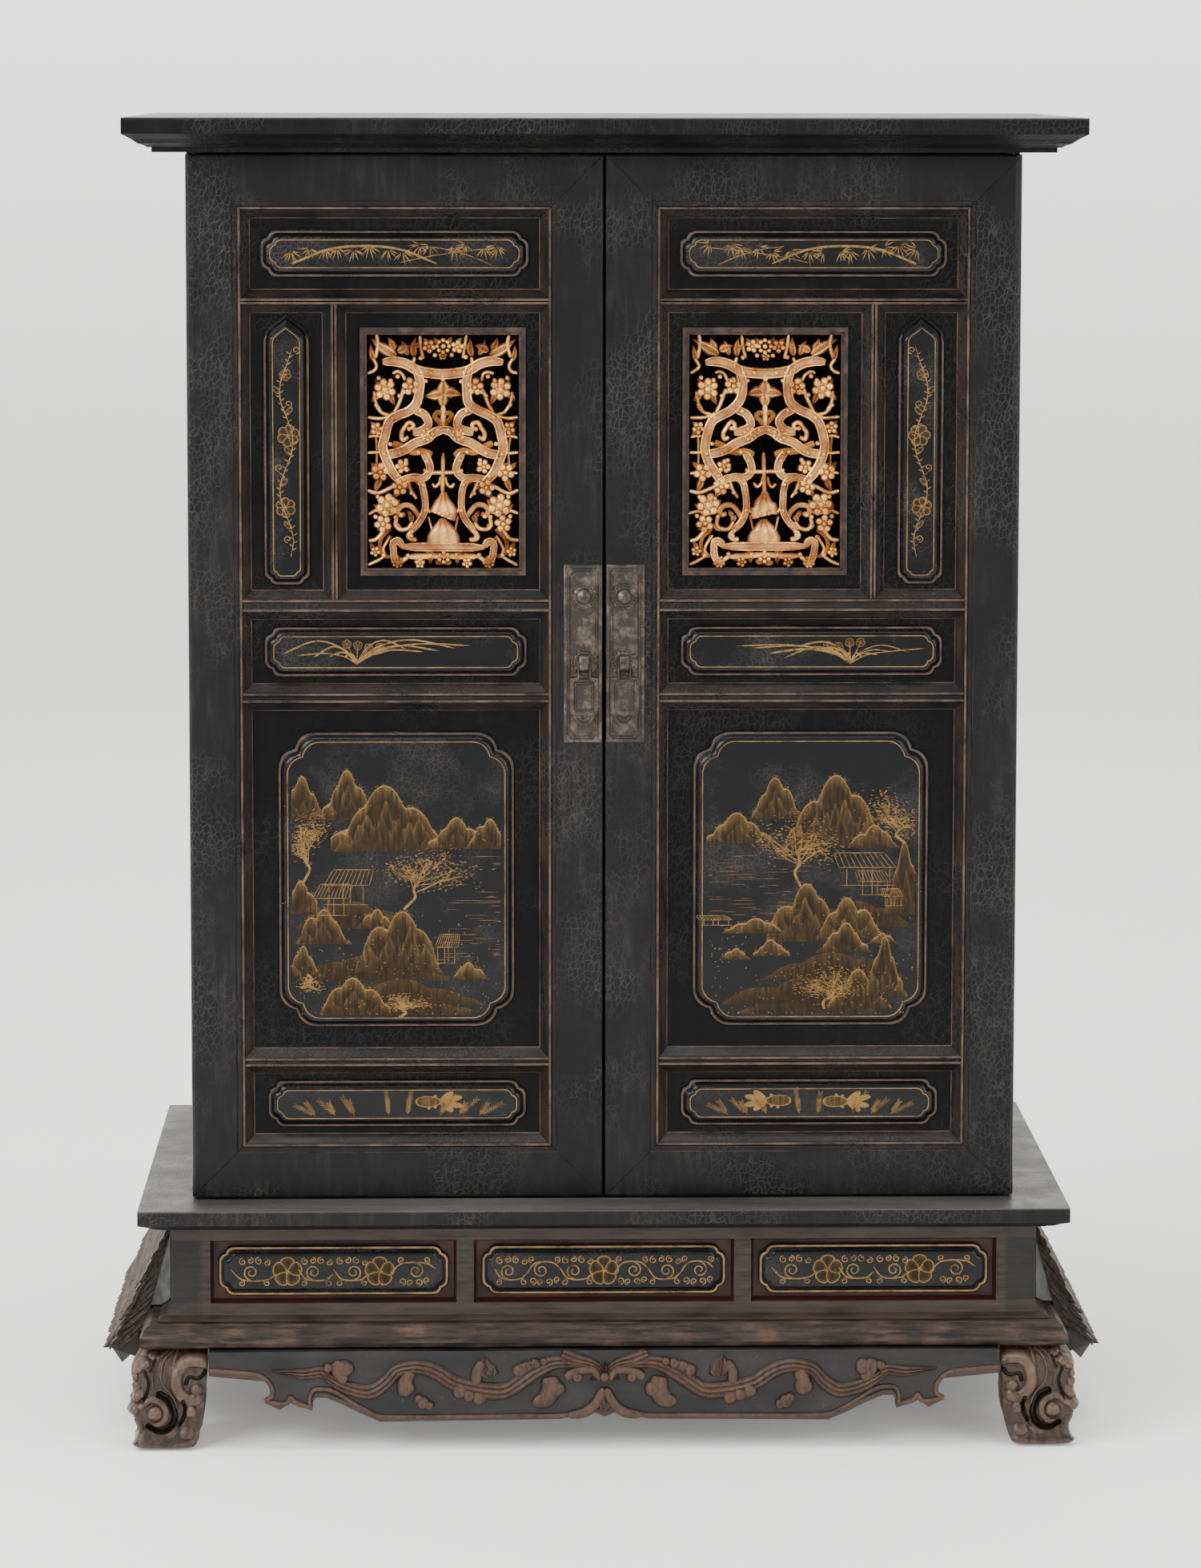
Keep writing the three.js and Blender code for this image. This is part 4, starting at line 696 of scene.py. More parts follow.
class SHRINE_OT_cartouches(bpy.types.Operator):
    """Polished cartouches of the door panels and the waist, with gold lines round them"""
    bl_idname = "shrine.cartouches"
    bl_label = "Cartouches"

    def execute(self, context):
        polished = gloss_lacquer("polished black lacquer, cartouches", (7.5, 8.0))
        edged = gloss_lacquer("polished black lacquer, gold at the rim", (0.5, 1.7))
        for side in SIDES:
            for name, (middle, size, lobe, cusp, arch) in DOOR_CARTOUCHES.items():
                cartouche_piece(f"{side}_{name}_cartouche", middle, size, lobe, cusp, arch, PANEL_GROUND,
                                polished, f"{side}_door", side)
        height, *corners = WAIST_CARTOUCHE
        for name, (middle, width) in WAIST_CARTOUCHES.items():
            cartouche_piece(f"waist_{name}_cartouche", (middle, WAIST_MIDDLE), (width, height), *corners,
                            WAIST_CARTOUCHE_GROUND, edged, "root")
        return {"FINISHED"}


# Gold painting

# Domes that make a hill: middle, height and reach, as shares of its half width and height
HILL_DOMES = ((0, 1, 0.5), (-0.4, 0.74, 0.44), (0.42, 0.66, 0.46), (-0.74, 0.36, 0.28), (0.76, 0.32, 0.26))
# Rings of a petal from its middle outwards, as shares of its outline, and how bright each is painted;
# the last one closes the back
PETAL_RINGS = np.array((0.05, 0.6, 0.8, 0.88, 1, 1))[:, None]
PETAL_SHARES = np.array((0, 0.4, 0.6, 0.95, 1, 1))[:, None]
# Rows of a painted hill: millimetres below its outline, down to its foot; the gold fades over FADE
HILL_ROWS = np.array((500, 12, 8, 5, 2.5, 1, 0))[:, None]
FADE = 14.0
DOOR_SEED = 11
WAIST_SEED = 61
BLOSSOM = 12.5  # radius of an open flower on the waist
PAINT_SINK = 0.05  # how far the painting is let into the field below it


def hill_profile(across, crags):
    """Outline of a hill over a foot from -1 to 1: the highest of a few domes, moved about by its crags."""
    high = np.zeros_like(np.asarray(across, float))
    for number, (middle, top, reach) in enumerate(HILL_DOMES):
        shift = 0.08 * math.sin(crags * (number + 1) + number)
        reached = ((across - middle - shift) / reach) ** 2
        high = np.maximum(high, (top - abs(shift)) * np.clip(1 - reached, 0, 1) ** 0.62)
    return high


class Brush:
    """Collects painted strokes for one field. Places are millimetres from the field's middle."""

    def __init__(self, middle, half, ground, seed):
        sizes = bpy.context.scene.shrine_sizes
        self.middle = np.asarray(middle, float)
        self.half = np.array(half)
        self.ground = ground
        self.fine = sizes.stroke / MM / 2
        self.rise = sizes.paint_rise / MM
        self.random = np.random.default_rng(seed)
        self.lines, self.washes = [], []

    def height(self):
        """How far the next stroke stands off, so that it lies over the earlier ones."""
        return self.rise * 0.4 + 0.0015 * len(self.washes)

    def line(self, points, width=1.0, taper=(0.5, 0.2), count=None):
        """A brushed line whose width is a multiple of a fine stroke's."""
        self.lines.append(stroke(np.asarray(points, float) + self.middle, self.fine * width,
                                 self.rise, self.ground - self.height(), KEEL, count, taper))

    def leaf(self, start, length, angle, half=0.7, bend=0.0):
        start = np.asarray(start, float) + self.middle
        self.lines.append(leaf(start, start + length * toward(angle), half, self.rise,
                               self.ground - self.height(), bend, KEEL, 6))

    def petal(self, start, length, angle, half, fullness=1.0, fill=0.0):
        """A petal, fin or broad leaf with a bright edge: an ellipse, widest past its middle where fullness
        is below one."""
        turn = circle(20)
        along = ((1 - np.cos(turn)) / 2) ** fullness
        side = toward(angle + math.pi / 2)
        outline = np.outer(along * length, toward(angle)) + np.outer(np.sin(turn) * half, side)
        middle = toward(angle) * length / 2
        flat = middle + PETAL_RINGS[:, :, None] * (outline - middle) + self.middle + start
        rings = upright(flat, self.ground - self.height())
        rings[-1, :, 1] = self.ground
        self.washes.append(tube_shell(rings, np.maximum(PETAL_SHARES, fill)))

    def flower(self, place, radius, petals=5, turn=0.3):
        """Petals about a dotted middle."""
        place = np.asarray(place, float)
        for angle in turn + circle(petals):
            self.petal(place, radius, angle, radius * min(0.48, 2.4 / petals), 0.6)
        for angle in (0, 2.1, 4.2):
            self.leaf(place - 0.1 * radius * toward(angle), 0.3 * radius, angle, 0.06 * radius)

    def wash(self, foot, half_width, height, crags, top=1.0):
        """A hill, one fold of it, or a sheet of ground: rows of points from a straight foot to an outline.

        The share in the uv map is `top` at the outline and falls to 0 at FADE below it.
        """
        across = np.linspace(-1, 1, int(np.clip(half_width * 1.3, 12, 44)))
        x = np.clip(foot[0] + half_width * across, -self.half[0], self.half[0]) + self.middle[0]
        z = self.middle[1] + foot[1] + np.maximum(height * hill_profile(across, crags) - HILL_ROWS, 0)
        flat = np.stack([np.broadcast_to(x, z.shape), z], axis=-1)
        rings = [upright(flat, self.ground - self.height()), upright(flat[:, ::-1], self.ground)]
        self.washes.append(tube_shell(np.concatenate(rings, axis=1),
                                      np.clip(1 - HILL_ROWS / FADE, 0, 1) * top))

    def hill(self, x, z, half_width, height):
        """A hill and the rows of folds that step down it, each fold brightest along its own crest."""
        rng = self.random
        crags = rng.uniform(0, 6)
        self.wash((x, z), half_width, height, crags)
        rows = max(2, round(height / 14))
        for row in range(1, rows + 1):
            count = row + round(half_width / 13)
            left = 1 - row / (rows + 1)
            for place in np.linspace(-0.7, 0.7, count) + rng.normal(0, 0.05, count):
                reach = 1.4 * half_width * rng.uniform(0.7, 1.1) / (count + 0.6)
                high = height * hill_profile(place, crags) * left * rng.uniform(0.9, 1.1)
                self.wash((x + place * half_width, z), reach, high, rng.uniform(0, 6), 1 - 0.7 * row / rows)
        for place in rng.uniform(-1, 1, round(half_width)):
            crest = z + height * hill_profile(place, crags) + 0.8
            self.leaf((x + place * half_width, crest), 1.2, rng.uniform(0, 3), 0.3)

    def pieces(self, name, finishes, body, side=None):
        make_piece(name, self.lines, finishes[0], body, side, crease=60)
        if self.washes:
            make_piece(f"{name}_wash", self.washes, finishes[1], body, side, crease=60)


# Canes of the bamboo: ends as shares of the field's half sizes, bend and width
CANES = (((-0.85, -0.8), (0.35, -0.8), 12.8, 2.6), ((0.05, -0.7), (0.9, 0.5), 1.6, 1),
         ((0.25, 0.6), (0.8, -0.9), 2.4, 1))


def paint_bamboo(brush, half):
    """Bending canes along the field, with fans of narrow leaves that hang from their joints."""
    rng = brush.random
    for start, end, lift, width in CANES:
        first, last = np.array(start) * half, np.array(end) * half
        cane = [first, first * 0.7 + last * 0.3 + (0, lift), first * 0.3 + last * 0.7 + (0, lift), last]
        brush.line(cane, width, (1, 0.4), 14)
    for x in np.linspace(-0.86, 0.86, 14) + rng.normal(0, 0.02, 14):
        node = np.array((x, rng.uniform(0.1, 0.9))) * half
        lean = rng.normal(-0.5 * math.pi, 0.6)
        for k in range(-3, 4):
            angle = lean + 0.42 * k + rng.normal(0, 0.1)
            length = rng.uniform(8, 12) * (1 - 0.08 * abs(k))
            room = half[1] + math.copysign(node[1], -math.sin(angle))
            share = np.clip(room / max(0.1, length * abs(math.sin(angle))), 0.2, 1)
            brush.leaf(node + 1.5 * toward(angle), length * share, angle, 0.45)


def paint_orchid(brush, half, base, reach):
    """Long arching leaves from one clump, with a few open flowers between them."""
    rng = brush.random
    x, z = base
    for length, high, drop in zip(np.linspace(-0.85, 1.3, 13) * reach, rng.uniform(0.4, 1.0, 13),
                                  rng.uniform(-0.6, 0.3, 13)):
        top = z + high * 1.85 * half[1] * min(1, 0.4 + abs(length) / reach)
        arch = [base, (x + length * 0.2, (z + top * 2.2) / 3.2), (x + length * 0.55, top),
                (x + length, top * 0.3 + drop * half[1])]
        brush.line(arch, rng.uniform(1.0, 2.4), (0.6, 0.05), 14)
    for k in range(4):
        place = (x - 8 + 9 * k, rng.uniform(0.3, 0.8) * half[1])
        brush.flower(place, 3.8, 5, rng.uniform(0, 1))
        brush.line([base, place])


def paint_climber(brush, half):
    """A stem in even curves with rows of narrow leaves, broad leaves, curled tips and open flowers."""
    rng = brush.random
    t = np.linspace(0, 1, 13)
    stem = np.stack([0.55 * half[0] * np.sin(4.2 * np.pi * t + 0.6), (2 * t - 1) * half[1]], axis=1)
    brush.line(stem, 1.2)
    path = smooth_path(stem, 60)
    for k in range(2, 58):
        side = 1 if k % 2 else -1
        length = rng.uniform(3.2, 4.4)
        brush.leaf(path[k], length, math.pi / 2 + side * rng.uniform(0.8, 1.1), 0.42, 0.1 * side)
    for k, side in ((8, 1), (20, -1), (29, 1), (40, -1), (46, 1)):
        brush.petal(path[k], 8, math.pi / 2 + side * 0.8, 2.1, 1.3)
    for k, radius in ((14, 8.4), (34, 9.2), (51, 5.0)):
        brush.flower(path[k] * (0.3, 1), radius, 6, rng.uniform(0, 1))
    for k in (4, 24, 42, 57):
        side = 1 if k % 4 else -1
        brush.line(spiral(path[k] + (side * 4.6, 3.0), 3.2, 1.3, -math.pi / 2, 0.2, 11, side))


def paint_fish(brush, place, size, way):
    """A goldfish: round body with an eye, fins, and a tail of four broad lobes."""
    place = np.asarray(place, float)
    back = math.pi if way > 0 else 0
    for lean, share in ((-0.6, 1.1), (0.6, 1.1), (-0.2, 1.6), (0.2, 1.5)):
        brush.petal(place - (way * size * 0.5, 0), size * share, back + lean, size * 0.19, 0.75, 0.93)
    for lean in (0.9, -0.9, -1.9):
        brush.petal(place, size * 0.55, back + lean, size * 0.12, 0.8, 0.93)
    brush.petal(place + (way * size, 0), 1.7 * size, back, size * 0.36, 1.2, 0.7)
    brush.flower(place + (way * size * 0.66, size * 0.16), size * 0.15, 6)


def paint_pond(brush, half, fish):
    """Feathery water weeds along the field, with fish between them."""
    rng = brush.random
    for x in (-0.95, -0.72, -0.5, -0.1, 0.12, 0.5, 0.72, 0.95):
        foot = np.array([x * 0.74 * half[0], -0.95 * half[1]])
        for lean, length in ((-0.3, 12), (0.2, 19)):
            way = math.pi / 2 - x * (0.95 + lean)
            tip = foot + length * rng.uniform(0.9, 1.1) * toward(way)
            brush.line([foot, tip], 0.7, count=4)
            for share in np.linspace(0.15, 1, 10):
                for side in (-0.75, 0.75):
                    brush.leaf(foot + share * (tip - foot), 3.3, way + side, 0.27)
    for place, size, way in fish:
        paint_fish(brush, place, size, way)


def paint_tree(brush, foot, crown, spread, leaves):
    """A bent trunk that forks into a crown, an ellipse of leaf strokes gathered round its branches."""
    rng = brush.random
    foot, crown, spread = (np.asarray(value, float) for value in (foot, crown, spread))
    bends = (foot * 0.65 + crown * 0.35 + (3, 0), foot * 0.4 + crown * 0.6 - (3, 0))
    trunk = smooth_path([foot, *bends, crown], 12)
    brush.line(trunk[::2], 3.0, (1, 0.3))
    for start in trunk[rng.integers(5, 12, 14)]:
        end = crown + rng.uniform(0.45, 0.95) * spread * toward(rng.uniform(-0.4, 3.6))
        end = np.clip(end, -brush.half, brush.half)
        branch = smooth_path([start, (start + end) / 2 + rng.uniform(-4, 4, 2), end], 8)
        brush.line(branch[::2])
        places = branch[rng.integers(3, 8, leaves // 14)] + rng.normal(0, 0.2, (leaves // 14, 2)) * spread
        for place in np.clip(places, -brush.half, brush.half):
            brush.leaf(place, rng.uniform(1.6, 3.0), rng.uniform(-0.4, 0.9), 0.3)


def paint_pavilion(brush, foot, width, height):
    """A small open pavilion: hatched sloping roof on posts, over a floor line."""
    def level(left, right, up, thickness=1.0):
        brush.line([(x + left * width, z + up * height), (x + right * width, z + up * height)], thickness)
    x, z = foot
    eave = 0.55
    level(-0.62, 0.62, eave)
    level(-0.36, 0.74, 1)
    for share in np.linspace(0, 1, 11):
        brush.line([(x + (1.24 * share - 0.62) * width, z + eave * height),
                    (x + (1.1 * share - 0.36) * width, z + height)], 0.8)
    for share in (-0.48, -0.1, 0.1, 0.45):
        brush.line([(x + share * width, z), (x + share * width, z + eave * height)], 0.8)
    level(-0.62, 0.62, 0, 0.8)


# Landscapes, in millimetres from the field's middle. Hills and rocks: middle, foot, half width and
# height, from far to near. Trees: foot, crown, its half sizes and leaves. Houses: foot, width, height.
LANDSCAPES = {
    "left": {
        "hills": ((-76, 50, 17, 40), (-40, 50, 21, 43), (-8, 24, 46, 57), (50, 26, 24, 27), (76, 26, 17, 27),
                  (-79, -28, 16, 29), (-61, -53, 21, 32), (-17, -40, 13, 18), (2, -77, 36, 56),
                  (-76, -80, 12, 28), (60, -83, 14, 16), (-34, -112, 29, 34)),
        "trees": (((-77, -2), (-69, 32), (19, 24), 420), ((6, -24), (25, 6), (42, 21), 560),
                  ((2, -114), (10, -103), (24, 10), 240), ((-74, -78), (-70, -90), (12, 9), 90)),
        "houses": ((-41, -20, 30, 29), (-54, -29, 24, 26), (41, -69, 15, 24)),
        "water": (30, 86, -75, 22),
    },
    "right": {
        "hills": ((60, 30, 27, 27), (29, 50, 21, 36), (-18, 27, 40, 64), (-52, 26, 20, 20),
                  (-78, -30, 15, 64), (5, -52, 31, 52), (-32, -50, 25, 38), (-29, -61, 19, 26),
                  (47, -45, 24, 14), (32, -64, 15, 15), (62, -67, 11, 11), (-60, -54, 11, 10),
                  (-40, -108, 25, 34), (-62, -98, 15, 52)),
        "trees": (((-78, 30), (-64, 50), (21, 27), 420), ((8, -6), (14, 28), (38, 26), 560),
                  ((-12, -108), (-18, -90), (29, 19), 420)),
        "houses": ((-47, -5, 38, 27), (-53, -13, 22, 20), (-68, -22, 14, 14), (78, -38, 22, 8)),
        "water": (-4, 84, -30, 22),
    },
}


def paint_landscape(brush, half, layout):
    """Far peaks over water, houses and trees on the banks, and rocks in front."""
    rng = brush.random
    for x, z, half_width in ((-34, -40, 50), (-20, -84, 64), (4, -112, 58), (8, -104, 64)):
        brush.wash((x, z), half_width, 24, rng.uniform(0, 6), 0.5)
    for hill in layout["hills"]:
        brush.hill(*hill)
    for tree in layout["trees"]:
        paint_tree(brush, *tree)
    for house in layout["houses"]:
        paint_pavilion(brush, house[:2], *house[2:])
    left, right, low, high = layout["water"]
    for x, z in zip(rng.uniform(left, right, 46), rng.uniform(low, high, 46)):
        brush.line([(x, z), (min(x + rng.uniform(5, 24), right), z)], 0.5, count=4)
    for x, z in zip(rng.uniform(-84, 84, 150), np.clip(rng.normal(-78, 26, 150), -112, -30)):
        brush.leaf((x, z), rng.uniform(1.2, 2.4), rng.uniform(0.2, 2.9), 0.32)


def paint_scrolls(brush, half, blossoms):
    """Waist ornament: open flowers joined by curling tendrils that fill the field."""
    for x in blossoms:
        brush.flower((x, 0), BLOSSOM, 5, math.pi / 2)
    edges = sorted([-half[0] + 2, half[0] - 2, *np.subtract(blossoms, 9), *np.add(blossoms, 9)])
    for left, right in zip(edges[::2], edges[1::2]):
        count = max(1, round((right - left) / 26))
        step = (right - left) / count
        for k in range(count):
            x = left + (k + 0.5) * step
            lean = 1 if x > 0 else -1
            way = (1 if k % 2 else -1) * (-1 if x < 0 else 1)
            brush.line([(x - step / 2, way * 2), (x - step / 4, -way * 6.5), (x + step / 4, -way * 7),
                        (x + step / 2, -way * 2)], 1.6)
            curl = spiral((x + lean * 2, -way * 0.4), 6.4, 1.5, -way * math.pi / 2, 0.2, 22, way * lean)
            brush.line(curl, 1.5)
            for across, up, radius, turn in ((-9, 8.6, 3.2, 1), (-2.6, 9.4, 2.8, -1), (4.4, 9.2, 3.2, 1),
                                             (11, 7.6, 2.8, -1), (-10, -9.6, 2.8, -1), (11, -9.4, 2.8, 1)):
                curl = spiral((x + across, way * up), radius, 1.3, way * math.pi / 2, 0.2, 12, turn)
                brush.line(curl, 1.3)


class SHRINE_OT_painting(bpy.types.Operator):
    """Gold painting on the cartouches: bamboo, orchids, climbers, landscapes, ponds and scrolls"""
    bl_idname = "shrine.painting"
    bl_label = "Gold painting"

    def execute(self, context):
        finishes = (gold_paint("gold powder paint, lines"), gold_paint("gold powder paint, washes", True))
        ground = PANEL_GROUND - FIELD_RISE + PAINT_SINK
        fish = ((-24, 1), 13, 1), ((28, 2), 13, -1)
        for number, side in enumerate(SIDES):
            motifs = (
                ("top_bamboo", TOP_PANEL, paint_bamboo, ((98, 10),)),
                ("narrow_climber", NARROW_PANEL, paint_climber, ((10, 86),)),
                ("middle_orchid", MIDDLE_PANEL, paint_orchid, ((96, 11), (-32, -10), 72)),
                ("landscape", LARGE_PANEL, paint_landscape, ((86, 112), LANDSCAPES[side])),
                ("bottom_pond", BOTTOM_PANEL, paint_pond, ((96, 10), fish if number else fish[1:])),
            )
            for row, (name, middle, paint, values) in enumerate(motifs):
                brush = Brush(middle, values[0], ground, DOOR_SEED + 10 * row + number)
                paint(brush, *values)
                brush.pieces(f"{side}_{name}", finishes, f"{side}_door", side)
        ground = WAIST_CARTOUCHE_GROUND - FIELD_RISE + PAINT_SINK
        for number, (name, (middle, width)) in enumerate(WAIST_CARTOUCHES.items()):
            half = (width / 2 - 8, 13)
            brush = Brush((middle, WAIST_MIDDLE), half, ground, WAIST_SEED + number)
            paint_scrolls(brush, half, (0,) if name == "center" else (-38, 38))
            brush.pieces(f"waist_{name}_scrolls", finishes, "root")
        return {"FINISHED"}


# Gilt openwork

# All places are millimetres from the middle of the window, x then z. A band is its points, half
# width, section and rise; bands, flowers, beads and leaves of HALF_ are on both sides.
WHOLE_BANDS = (
    (((-49, 73), (-40, 74), (-30, 72), (-19, 66), (0, 64), (19, 66), (30, 72), (40, 74), (49, 73)), 3.8,
     RIMMED, 4.6),
    (((-34, -78), (34, -78)), 3.2, RIMMED, 5.2),
    (((0, -1), (0, -35)), 1.6, ROUND, 5.6),
    (((-11, -17), (11, -17)), 1.6, ROUND, 4.6),
    (((0, 62), (0, 58)), 2.3, ROUND, 3.6),
    (((0, 38), (0, 18)), 2.2, ROUND, 3.8),
    (((-29, -86), (-16, -86), (0, -85), (16, -86), (29, -86)), 2.5, ROUND, 3.8),
)
HALF_BANDS = (
    (((-22, 69), (-19, 59), (-19, 49), (-21, 40), (-28, 34), (-37, 30), (-44, 24), (-48, 13), (-49, 3),
      (-46, -8), (-41, -17), (-34, -25)), 3.5, RIMMED, 5.0),
    (((-23, 34), (-16, 31), (-12, 25), (-13, 20), (-19, 17), (-25, 16)), 3.1, RIMMED, 4.6),
    (((-29, 12), (-33, 10), (-34, 15), (-31, 20), (-28, 24), (-24, 22), (-25, 19), (-27, 19)), 1.8,
     ROUND, 4.2),
    (((0, 18), (-7, 16), (-13, 11), (-23, 7), (-31, 2), (-39, -1), (-47, -2)), 3.5, RIMMED, 5.0),
    (((-41, 7), (-34, 4), (-25, 0), (-16, 0), (-9, -3)), 2.8, RIBBED, 4.2),
    (((-16, -1), (-12, -8), (-11, -15), (-16, -21), (-24, -21), (-32, -23), (-38, -26)), 2.9, RIMMED,
     4.4),
    (((-25, -21), (-18, -25), (-16, -32), (-15, -40), (-15, -48), (-18, -55), (-22, -61), (-26, -65)),
     2.5, RIMMED, 5.0),
    (((-18, -56), (-22, -49), (-27, -44), (-33, -44), (-37, -48), (-35, -52), (-31, -51)), 1.8, RIMMED,
     4.4),
    (((-29, -22), (-26, -31), (-22, -38)), 1.3, ROUND, 3.6),
    (((-25, -58), (-29, -63), (-35, -64), (-39, -60), (-38, -53)), 1.6, ROUND, 4.0),
    (((-26, -65), (-28, -70), (-23, -73)), 2.1, ROUND, 4.0),
    (((-43, -64), (-50, -70), (-52, -78), (-49, -85), (-43, -86)), 1.5, RIBBED, 4.0),
    (((-43, -69), (-46, -74), (-49, -80), (-47, -85)), 1.2, ROUND, 3.4),
    (((-61, 28), (-54, 27), (-47, 28), (-40, 32)), 1.3, ROUND, 3.6),
    (((-61, 64), (-56, 66), (-54, 70), (-57, 76)), 1.3, ROUND, 3.6),
    (((-41, 64), (-37, 65), (-33, 63), (-31, 58)), 1.3, ROUND, 3.6),
    (((-40, 32), (-37, 38), (-34, 45), (-32, 51)), 1.5, ROUND, 3.8),
    (((-55, 38), (-50, 32), (-43, 30)), 1.3, ROUND, 3.4),
    (((-56, 49), (-55, 41), (-51, 33)), 1.3, ROUND, 3.4),
    (((-55, 12), (-54, 0), (-54, -12)), 0.9, ROUND, 3.2),
    (((-61, 12), (-55, 13), (-49, 12)), 1.2, ROUND, 3.4),
    (((-61, -1), (-54, -1), (-49, 0)), 1.2, ROUND, 3.4),
    (((-61, -18), (-54, -17), (-43, -18)), 1.3, ROUND, 3.4),
    (((-61, -32), (-53, -34), (-42, -29), (-35, -26)), 1.5, ROUND, 3.6),
    (((-61, -51), (-54, -49), (-45, -51), (-37, -49)), 1.3, ROUND, 3.4),
    (((-61, -73), (-55, -72), (-50, -66), (-46, -61)), 1.5, ROUND, 3.6),
    (((-61, -93), (-54, -90), (-47, -85)), 1.3, ROUND, 3.4),
    (((-33, -78), (-37, -73), (-41, -75), (-41, -81), (-40, -87), (-37, -92)), 2.6, RIMMED, 5.0),
    (((0, 19), (-3, 24), (-6, 27), (-7, 30), (-4, 32), (-2, 30)), 1.9, RIBBED, 4.6),
    (((-9, -26), (-6, -29), (-3, -26), (-2, -21)), 1.2, ROUND, 3.6),
    (((-11, -17), (-16, -15)), 1.5, ROUND, 3.6),
    (((-15, -43), (-11, -50)), 1.2, ROUND, 3.2),
    (((-17, 60), (-21, 64), (-25, 70), (-23, 77)), 1.5, ROUND, 3.6),
    (((-12, -53), (-9, -65)), 0.9, ROUND, 2.8),
    (((-29, -86), (-37, -92)), 1.8, ROUND, 3.4),
    (((-19, 95), (-18, 85), (-16, 76)), 1.3, ROUND, 3.4),
    (((-54, 95), (-53, 87), (-55, 77)), 1.5, ROUND, 3.4),
)
HALF_FLOWERS = ((-47, 51, 8.7, 6), (-26, 53, 6.6, 5), (-51, -17, 6.9, 5), (-46, -44, 9.3, 6),
                (-49, -59, 6.6, 5), (-54, 19, 4.8, 5), (-33, -12, 5.4, 5), (-35, -29, 6.3, 5),
                (-12, 14, 6.3, 8), (-37, -91, 5.4, 8), (-11, 86, 5.1, 5), (-56, -82, 3.9, 5),
                (-19, -91, 3.9, 5))
WHOLE_FLOWERS = ((0, 86, 7.8, 8), (0, 78, 3.6, 5), (0, -87, 6.0, 6))
HALF_BEADS = ((-17.3, 64.4), (-9.2, 64.5), (-18.6, 33.6), (-41.5, 27.8), (-48.0, -1.7), (-35.0, -1.0),
              (-37.6, -20.0), (-13.4, -7.6), (-16.5, -26.6), (-19.9, 0.0), (-14.7, 57.6), (-4.2, 17.9),
              (-25.1, -33.8), (-43.5, 6.5), (-3.5, -50.5), (-35.0, 45.4), (-27.8, 57.9), (-31.7, 48.7),
              (-42.1, 57.9), (-52.6, 60.5), (-54.6, 38.2), (-29.1, -14.8), (-25.1, -65.2),
              (-22.8, -72.4), (-34.0, -52.1), (-38.7, -53.7), (-6.8, 78.8), (-17.9, 76.8),
              (-26.4, -69.1), (-55.2, -53.4), (-40.8, -38.4), (-53.3, -37.0), (-30.4, -6.9),
              (-14.9, -48.2), (-36.9, 61.1), (-27.5, 18.6), (-48.7, -84.8), (-29.1, -84.8),
              (-10.7, -84.8))
HALF_LEAVES = (((-38, 79), (-59, 92), 5.1), ((-37, 82), (-26, 87), 4.1), ((-40, 83), (-45, 93), 3.4),
               ((-23, 78), (-22, 93), 3.4), ((-29, 79), (-34, 91), 2.9), ((-56, 74), (-59, 88), 2.7),
               ((-25, 84), (-13, 89), 2.4), ((0, 47), (0, 59), 5.4), ((0, 47), (0, 35), 4.4),
               ((0, 48), (-15, 46), 5.1), ((-47, 47), (-56, 60), 2.9), ((-43, 47), (-39, 38), 2.9),
               ((-53, 47), (-59, 41), 2.9), ((-51, -22), (-56, -34), 3.1), ((-47, -14), (-56, -9), 2.9),
               ((-55, -14), (-60, -9), 2.2), ((-42, -47), (-35, -39), 3.4),
               ((-49, -52), (-58, -43), 3.1), ((-46, -57), (-55, -65), 3.2),
               ((-41, -59), (-34, -66), 2.7), ((-34, -12), (-26, -15), 2.9),
               ((-36, -27), (-29, -18), 2.9), ((-35, -30), (-41, -38), 3.4),
               ((-30, -30), (-25, -26), 2.6), ((-7, -85), (-17, -81), 2.7),
               ((-16, -85), (-25, -90), 3.1), ((-53, 20), (-60, 25), 2.4), ((-54, 20), (-60, 13), 2.4),
               ((-25, -52), (-27, -59), 3.1), ((-26, -53), (-30, -48), 2.4),
               ((-55, -82), (-60, -73), 2.4), ((-12, 8), (-21, 12), 2.7), ((-45, -69), (-40, -76), 2.0),
               ((-7, -90), (0, -93), 2.4), ((-11, -85), (-11, -93), 2.4), ((-29, 60), (-23, 49), 3.7),
               ((-30, 55), (-23, 46), 3.1), ((-11, 87), (-16, 93), 2.4), ((-4, 88), (-7, 94), 2.2))

# Bell and mound at the foot of the staff: points, half widths and rise
WHOLE_BODIES = (
    (((0, -33), (0, -37), (0, -42), (0, -47), (0, -51), (0, -53)), (2.2, 4.4, 7.4, 10.4, 12.4, 11.6),
     5.2),
    (((0, -55), (0, -59), (0, -64), (0, -70), (0, -75)), (2.4, 7.2, 11.2, 13.4, 14.0), 4.4),
)
# Rings of a bead or a small flower boss: share of the radius, share of the rise
BEAD = ((1, 0), (0.96, 0.55), (0.72, 0.9), (0.3, 1.0))
OPENWORK_BEAD = 2.0
OPENWORK_FULLNESS = 1.12  # times the widths and radii in the tables
OPENWORK_SHAKE = 0.3  # how far a hand misses a point
OPENWORK_SEEDS = (11, 29)
# Depths behind the face of the leaf from which the carving rises and at which it ends
OPENWORK_GROUND = 12.2
OPENWORK_BACK = 15.2
# Half sizes of the board, of the border on it and of the window in both
PIERCED_BOARD = (82.2, 116.7)
PIERCED_BORDER = (67.5, 101.5)
PIERCED_WINDOW = (62.0, 95.5)
BORDER_LIP = 2.4


def cut_through(section, rise):
    """Section of a pierced carving: the front of a stroke on straight sides that reach the back."""
    back = -(OPENWORK_BACK - OPENWORK_GROUND) / rise
    return ((-0.9, back), *section[:-1], (0.9, back))


